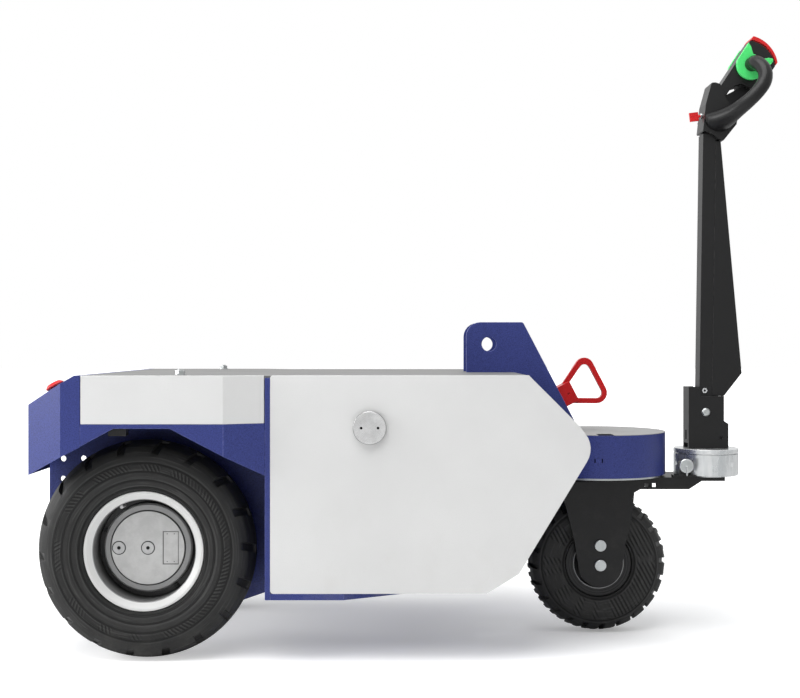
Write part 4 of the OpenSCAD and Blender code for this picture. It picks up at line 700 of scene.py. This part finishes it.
def rubber(name, x, z, rings, dark, ribbed, ribs, slope):
    """Rubber of one wheel; rings, dark and ribbed are radii.

    The wave of the ribs turns by ribs for each radian round the wheel, and by slope for each
    metre straight across it.
    """
    f = Finish(name)
    radius = f.ring(x, z)
    angle = (f.x - x).math("ARCTAN2", f.z - z)
    twist = 9.0
    spiral = angle + radius * twist

    def seamless(turn, **more):
        """Coordinates for a noise that runs round the wheel without a seam."""
        stretch = 2.2
        circle = {"X": turn.math("SINE") * stretch, "Y": turn.math("COSINE") * stretch}
        return f.node("ShaderNodeCombineXYZ", {}, {**circle, **more})

    flow = f.noise(1.0, 4.0, 0.65, seamless(spiral, Z=radius * 260.0))
    cloud = f.noise(14.0, 6.0, 0.7)
    grain = f.noise(800.0, 3.0, 0.6)
    inner, outer = ribbed
    between = radius.ramp(inner, inner + 0.004) * (1 - radius.ramp(outer - 0.004, outer))
    patch = between * f.noise(1.3, 1.0, 0.5, seamless(angle)).ramp(0.42, 0.56)
    lean = 0.49
    across = (f.x - x) * (slope * math.cos(lean)) + (f.z - z) * (slope * math.sin(lean))
    wave = ((spiral - radius * 5.0) * ribs + across).math("SINE")
    rib = wave.ramp(0.1, 0.8) * patch
    crest_highlight = (wave * -1.0).ramp(0.2, 0.9) * patch
    groove = 0.0
    ridge_highlight = 0.0
    # Each ring gets a dark line of painted shade, with a line of painted highlight just outside it.
    for at in rings:
        groove = (1 - (radius - at).math("ABSOLUTE").ramp(0.0008, 0.0024)) + groove
        ridge_highlight = (1 - (radius - at - 0.0034).math("ABSOLUTE").ramp(0.0004, 0.0020)) + ridge_highlight
    tone = f.blend(cloud.ramp(0.3, 0.75), (0.017, 0.017, 0.017), (0.025, 0.025, 0.0245))
    for start, stop in dark:
        within = radius.ramp(start, start + 0.0015) * (1 - radius.ramp(stop - 0.0015, stop))
        tone = f.blend(within * 0.7, tone, (0.010, 0.010, 0.010))
    tone = f.blend(flow.ramp(0.50, 0.72) * 0.8, tone, (0.048, 0.048, 0.047))
    # Painted highlights on the ring edges and rib crests, and painted shade between the ribs and in
    # the rings.
    tone = f.blend(ridge_highlight * flow.ramp(0.25, 0.6) * 0.6, tone, (0.050, 0.050, 0.049))
    tone = f.blend(crest_highlight * 0.6, tone, (0.045, 0.045, 0.044))
    tone = f.blend(rib * 0.9, tone, (0.003, 0.003, 0.003))
    tone = f.blend(groove * 0.85, tone, (0.003, 0.003, 0.003))
    dusty = (1 - f.z.ramp(0.0, 0.10)) * cloud.ramp(0.4, 0.7) * 0.25
    tone = f.blend(dusty, tone, (0.12, 0.115, 0.105))
    bumped = f.bump(flow, 0.0010, f.bump(groove + rib, -0.0016, f.bump(grain, 0.00008)))
    return f.close(
        Base_Color=tone,
        Roughness=0.60 + (cloud - 0.5) * 0.2 - flow * 0.08,
        Normal=bumped,
        Specular_IOR_Level=0.26,
    )


low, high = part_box("rim_left")
axle = (low + high) / 2
drive_rings = (0.121, 0.135, 0.151, 0.167)
drive_rubber = rubber(
    "drive_tyre_rubber", axle.x, axle.z, drive_rings,
    dark=((0.108, 0.121), (0.151, 0.167)), ribbed=(0.151, 0.167), ribs=130.0, slope=0.0,
)
for side in ("left", "right"):
    moulded_tyre(
        "tyre_" + side, "drive_wheel_" + side, drive_rubber,
        radius=0.208, half=0.0575, bead=0.1015, lugs=18, groove=0.016,
        start=0.009, drop=0.005, tilt=math.radians(24), slant=math.radians(14), rings=drive_rings,
    )

# Drive rims: pressed steel with a deep dish. The lip is painted in white gloss, and the barrel
# behind it has painted shade that darkens inwards.
f = Finish("rim_gloss")
outward = f.y.math("ABSOLUTE") - axle.y
lip = outward.ramp(0.0365, 0.0375) * f.ring(axle.x, axle.z).ramp(0.0972, 0.0986)
worn = f.noise(60.0, 5.0, 0.7).ramp(0.60, 0.78)
# Painted shade: the barrel goes from light grey at the lip to near black deep inside.
barrel = f.blend(outward.ramp(-0.016, 0.040), (0.020, 0.020, 0.020), (0.26, 0.26, 0.26))
rim_tone = f.blend(worn * 0.3, (0.68, 0.68, 0.67), (0.55, 0.54, 0.52))
rim_tone = f.blend(lip, barrel, rim_tone)
rim_gloss = f.close(
    Base_Color=rim_tone,
    Roughness=0.30 + worn * 0.2,
    Normal=f.bump(f.noise(300.0), 0.00002),
    Specular_IOR_Level=0.4,
)
for side in ("left", "right"):
    softened(
        "rim_" + side, "drive_wheel_" + side, "rim_paint", rim_gloss, edge=0.0010, steps=3
    )

# Wheel hubs: cast, with a machined cover that has a shallow recess, four small screws and two
# plugs, and with a dark ring drawn in the groove inside their outer band. The outline of the
# recess and the holes in the plugs are painted shade. Five blackened nuts and a bright valve
# stand round the cover.
plug_places = (0.0, -0.0555)


def plug_marks(f, now):
    # The hole in each plug is painted near black: painted shade inside the hole.
    for plug in plug_places:
        now = band(f, now, axle.x + plug, axle.z, radius=0.0, width=0.0064, tone=hole_shade)
    return now


def hub_marks(f, now):
    outer_band = (0.28, 0.28, 0.28)
    groove_dark = (0.07, 0.07, 0.07)
    plug_edge = (0.03, 0.03, 0.03)
    recess_shade = (0.10, 0.10, 0.10)
    screw_tone = (0.14, 0.14, 0.14)
    now = band(f, now, axle.x, axle.z, radius=0.0790, width=0.0120, tone=outer_band)
    now = band(f, now, axle.x, axle.z, radius=0.0712, width=0.0024, tone=groove_dark)
    for plug in plug_places:
        now = band(f, now, axle.x + plug, axle.z, radius=0.0124, width=0.0014, tone=plug_edge)
    now = plug_marks(f, now)
    # The dark outline round the recess is painted shade along its walls.
    recess_middle = axle.x + 0.0435
    recess_half_width = 0.0145
    recess_half_height = 0.031
    across = (f.x - recess_middle).math("ABSOLUTE") - recess_half_width
    up = (f.z - axle.z).math("ABSOLUTE") - recess_half_height
    outline = across.math("MAXIMUM", up).math("ABSOLUTE")
    now = f.blend((1 - outline.ramp(0.0005, 0.0014)) * 0.85, now, recess_shade)
    for screw_x in (axle.x + 0.0500, axle.x + 0.0365):
        for screw_z in (axle.z + 0.0265, axle.z - 0.0265):
            now = band(f, now, screw_x, screw_z, radius=0.0, width=0.0016, tone=screw_tone)
    return now


hub_metal = turned(
    "hub_casting", axle.x, axle.z, (0.50, 0.50, 0.495),
    pitch=1500.0, rough=0.42, metallic=0.35, marks=hub_marks,
)
fitting_metal = turned(
    "hub_plugs", axle.x, axle.z, (0.46, 0.46, 0.46),
    pitch=900.0, rough=0.40, metallic=0.5, marks=plug_marks,
)
nut_metal = plated("blackened_steel", (0.03, 0.03, 0.03), rough=0.40, bare_and_highlit=(0.10, 0.10, 0.10))
fittings_from = axle.y - 0.010
nut_seat = axle.y - 0.020
for side, outer in (("left", 1), ("right", -1)):
    wheel = "drive_wheel_" + side
    softened("hub_" + side, wheel, "hub_cast", hub_metal, edge=0.0006)
    softened(
        "hub_fittings_" + side, wheel, "hub_cast", fitting_metal, edge=0.0004,
        keep=lambda at: abs(at.y) > fittings_from,
    )
    facing_out = Matrix.Rotation(math.radians(-90 * outer), 4, "X")
    fasteners(
        "hub_nuts_" + side, wheel, "hub_cast", nut_metal, "hub_fittings_" + side,
        Matrix.Translation((axle.x, outer * nut_seat, axle.z)) @ facing_out, 0.0003,
        {
            "Count": 5, "Ring Radius": 0.0906, "Start Angle": math.radians(56 * outer),
            "Flats": 0.0088, "Head Height": 0.0045,
            "Washer Radius": 0.0052, "Washer Height": 0.0008,
            "Stud Radius": 0.0026, "Stud Length": 0.0016,
        },
    )

# Slewing bearing: a fixed ring under the head and the turning race inside it. Both are turned
# from steel and plated.
softened("slew_ring", "chassis", "zinc_steel", zinc, edge=0.0006)
softened("inner_race", "steering", "zinc_steel", zinc, edge=0.0005)

# Steering fork: two cheeks cut from plate and welded to the top plate, whose arm reaches
# forward to the turret. The fork hangs from the inner race and is coated black.
softened("steering_fork", "steering", "paint_black", black_paint, edge=0.0008)

# Fork bolts: the wheel axle and the short screws over it, of plated steel with low round
# heads.
softened("fork_bolts", "steering", "zinc_steel", zinc, edge=0.0007)

# Steered wheel: a narrower tyre of the same kind, whose grooves meet across the crown, on a dark
# rim with two plated bearings. A thin ring of painted highlight runs round the rim.
low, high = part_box("steer_rim")
rim_x = (low.x + high.x) / 2
rim_z = (low.z + high.z) / 2
steer_rings = (0.074, 0.118)
steer_rubber = rubber(
    "steer_tyre_rubber", rim_x, rim_z, steer_rings,
    dark=((0.060, 0.074),), ribbed=(0.076, 0.118), ribs=0.0, slope=800.0,
)
moulded_tyre(
    "steer_tyre", "steer_wheel", steer_rubber,
    radius=0.144, half=0.045, bead=0.058, lugs=24, groove=0.0125,
    start=0.0002, drop=0.0050, tilt=math.radians(20), slant=math.radians(10), rings=steer_rings,
    cross=0.012,
)


def rim_highlight_ring(f, now):
    # A thin light ring on the dark rim: a painted highlight.
    return band(f, now, rim_x, rim_z, radius=0.0515, width=0.0014, tone=(0.30, 0.30, 0.30))


rim_dark = turned(
    "rim_dark", rim_x, rim_z, (0.010, 0.010, 0.0105),
    pitch=1200.0, rough=0.30, metallic=0.0, marks=rim_highlight_ring,
)
softened("steer_rim", "steer_wheel", "rim_dark", rim_dark, edge=0.0008)
softened("steer_bearings", "steer_wheel", "zinc_steel", zinc, edge=0.0004)

# Turret: a drum and a disc turned from steel, on the stud of the fork's arm. The steel is
# bright, with faint upright streaks.
f = Finish("turret_steel")
streaks = f.noise(38.0, 4.0, 0.62, f.stretched((1, 1, 0.14)))
stain = f.noise(21.0, 5.0, 0.7)
turret_tone = f.blend(streaks.ramp(0.32, 0.70), (0.50, 0.52, 0.53), (0.72, 0.73, 0.73))
turret_tone = f.blend(stain.ramp(0.52, 0.74) * 0.30, turret_tone, (0.46, 0.48, 0.48))
# The rounded edges are lightened: a painted highlight.
turret_tone = f.blend(f.edge() * 0.7, turret_tone, (0.88, 0.88, 0.88))
turret_metal = f.close(
    Base_Color=turret_tone,
    Metallic=0.85,
    Roughness=0.25 + (streaks - 0.5) * 0.16 + stain * 0.06,
    Normal=f.bump(streaks, 0.00008),
)
softened("turret_drum", "turret", "zinc_steel", turret_metal, edge=0.0008, steps=3)
softened("turret_disc", "turret", "zinc_steel", turret_metal, edge=0.0008, steps=3)

# Turret lock: a black block on the fork's arm guides a plated plunger, which is moved by its
# round knob.
softened("plunger_block", "steering", "paint_black", black_paint, edge=0.0005)
softened("lock_plunger", "turret_lock", "zinc_steel", zinc, edge=0.0006)

# Tiller bracket and pivot pin: folded plate with a slot, coated black and fixed to the turret,
# and the plated pin with a head on which the tiller tilts.
softened("tiller_bracket", "turret", "paint_black", black_paint, edge=0.0008)
softened("pivot_pin", "turret", "zinc_steel", zinc, edge=0.0006)

# Tiller post with its nuts and cable cover: a steel box section and the folded sheet over its
# cables, both coated black and held by plated nuts. The holes in the nuts are painted shade.
low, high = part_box("post_nuts")
nut_x = (low.x + high.x) / 2
nut_z = (low.z + high.z) / 2


def nut_hole_shade(f, now):
    # The nut's hole is painted near black: painted shade inside it.
    return band(f, now, nut_x, nut_z, radius=0.0, width=0.0044, tone=(0.01, 0.01, 0.01))


post_nut_steel = turned(
    "post_nut_steel", nut_x, nut_z, (0.60, 0.61, 0.62),
    pitch=1800.0, rough=0.30, metallic=0.9, marks=nut_hole_shade,
)
softened("tiller_post", "tiller", "paint_black", black_paint, edge=0.0012)
softened("post_nuts", "tiller", "zinc_steel", post_nut_steel, edge=0.0004)
softened("post_cover", "tiller", "paint_black", black_paint, edge=0.0012)

# Tiller head and handle loops: glass-filled nylon with a fine eroded grain. The loops run from
# the hub round both sides to the base of the head.
head_plastic = moulded(
    "grained_plastic", (0.0085, 0.0085, 0.0088),
    rough=0.36, grain=900.0, depth=0.00003, worn_and_highlit=(0.03, 0.03, 0.03),
)
softened("tiller_head", "tiller", "head_plastic", head_plastic, edge=0.0030, steps=3)
softened("handle_loops", "tiller", "head_plastic", head_plastic, edge=0)

# Butterfly throttle: bright green wings on both sides of the hub, moulded in plastic, which the
# thumbs turn about the hub's axis.
green_plastic = moulded(
    "green_plastic", (0.075, 0.70, 0.17),
    rough=0.36, grain=500.0, depth=0.00002, worn_and_highlit=(0.25, 0.84, 0.36),
)
softened("throttle", "throttle_wings", "green_plastic", green_plastic, edge=0.0020, steps=3)

# Safety button: the red plastic cap at the end of the head, which is pressed in when the tiller
# meets the driver.
softened("belly_button", "safety_cap", "red_plastic", red_plastic, edge=0.0015, steps=3)

# Key switch: a plated barrel set in the side of the head that looks over the deck, and the key
# in it with its bow moulded in red.
softened("key_barrel", "tiller", "zinc_steel", zinc, edge=0.0004)
softened("key", "switch_key", "red_plastic", red_plastic, edge=0.0010)

# Floor: a pale sweep that shows the contact shadow. To the camera it glows, more far from the tug
# so that it runs out to white. In front of the tug the glow is stronger as well: painted light
# that lightens the shadow there.
floor_mesh = bpy.data.meshes.new("studio_floor")
floor_mesh.from_pydata(
    [(-30, -30, 0), (30, -30, 0), (30, 30, 0), (-30, 30, 0)], [], [(0, 1, 2, 3)]
)
studio_floor = bpy.data.objects.new("studio_floor", floor_mesh)
scene.collection.objects.link(studio_floor)
pale = Finish("studio_floor")
plain = pale.node("ShaderNodeBsdfDiffuse", {}, {"Color": (0.86, 0.86, 0.86)})
reach = (pale.x * pale.x + pale.y * pale.y) ** 0.5
# Painted light: the floor glows brighter in front of the tug, over its shadow.
painted_light_in_front = (pale.y * -1.0).ramp(0.10, 0.34) * 0.35
far_out = reach.ramp(0.9, 3.2) * 0.6
glow = pale.node(
    "ShaderNodeEmission", {}, {"Color": (1, 1, 1), "Strength": 0.27 + painted_light_in_front + far_out}
)
glowing = pale.node("ShaderNodeAddShader", {}, {0: plain, 1: glow})
to_camera = pale.node("ShaderNodeLightPath", {}, {}, "Is Camera Ray")
sweep = pale.node("ShaderNodeMixShader", {}, {0: to_camera, 1: plain, 2: glowing})
floor_mesh.materials.append(pale.show(sweep))

# Light: the room is white to the camera and in reflections, but its light on the tug comes
# mostly from behind and the left. A wide soft box hangs overhead, a strong one at the left draws
# the bevel of the fascia and the edges of the tiller, and a weak one fills from the front.
world = bpy.data.worlds.new("studio")
scene.world = world
world.use_nodes = True
sky = world.node_tree
sky.nodes.clear()
seen = sky.nodes.new("ShaderNodeLightPath").outputs
mirrored = add_node(
    sky, "ShaderNodeMath", {"operation": "MAXIMUM"},
    {0: seen["Is Glossy Ray"], 1: seen["Is Transmission Ray"]},
)
any_seen = add_node(
    sky, "ShaderNodeMath", {"operation": "MAXIMUM"}, {0: seen["Is Camera Ray"], 1: mirrored}
)
towards_light = (-0.45, 0.85, 0.28)
direction = add_node(sky, "ShaderNodeTexCoord", {}, {}, "Generated")
facing = add_node(
    sky, "ShaderNodeVectorMath", {"operation": "DOT_PRODUCT"}, {0: direction, 1: towards_light},
    "Value",
)
dim = add_node(
    sky, "ShaderNodeMapRange", {},
    {"Value": facing, "From Min": -0.45, "From Max": 0.45, "To Min": 0.28, "To Max": 0.95},
)
white = add_node(sky, "ShaderNodeBackground", {}, {"Color": (1, 1, 1), "Strength": 1.0})
lit = add_node(sky, "ShaderNodeBackground", {}, {"Color": (0.98, 0.99, 1.0), "Strength": dim})
shown = add_node(sky, "ShaderNodeMixShader", {}, {0: any_seen, 1: lit, 2: white})
sky.links.new(shown, sky.nodes.new("ShaderNodeOutputWorld").inputs[0])

for name, place_at, aim, size, power in (
    ("overhead", (-0.4, -1.1, 3.2), (0, 0, 0.3), 2.6, 92.0),
    ("left_box", (-3.4, -0.55, 1.3), (-0.2, -0.1, 0.4), 1.8, 78.0),
    ("front_fill", (-1.8, -4.2, 2.2), (0, 0, 0.5), 2.2, 7.0),
):
    lamp = bpy.data.lights.new(name, "AREA")
    lamp.size = size
    lamp.energy = power
    box = bpy.data.objects.new(name, lamp)
    scene.collection.objects.link(box)
    box.location = place_at
    box.rotation_euler = (Vector(aim) - Vector(place_at)).to_track_quat("-Z", "Y").to_euler()
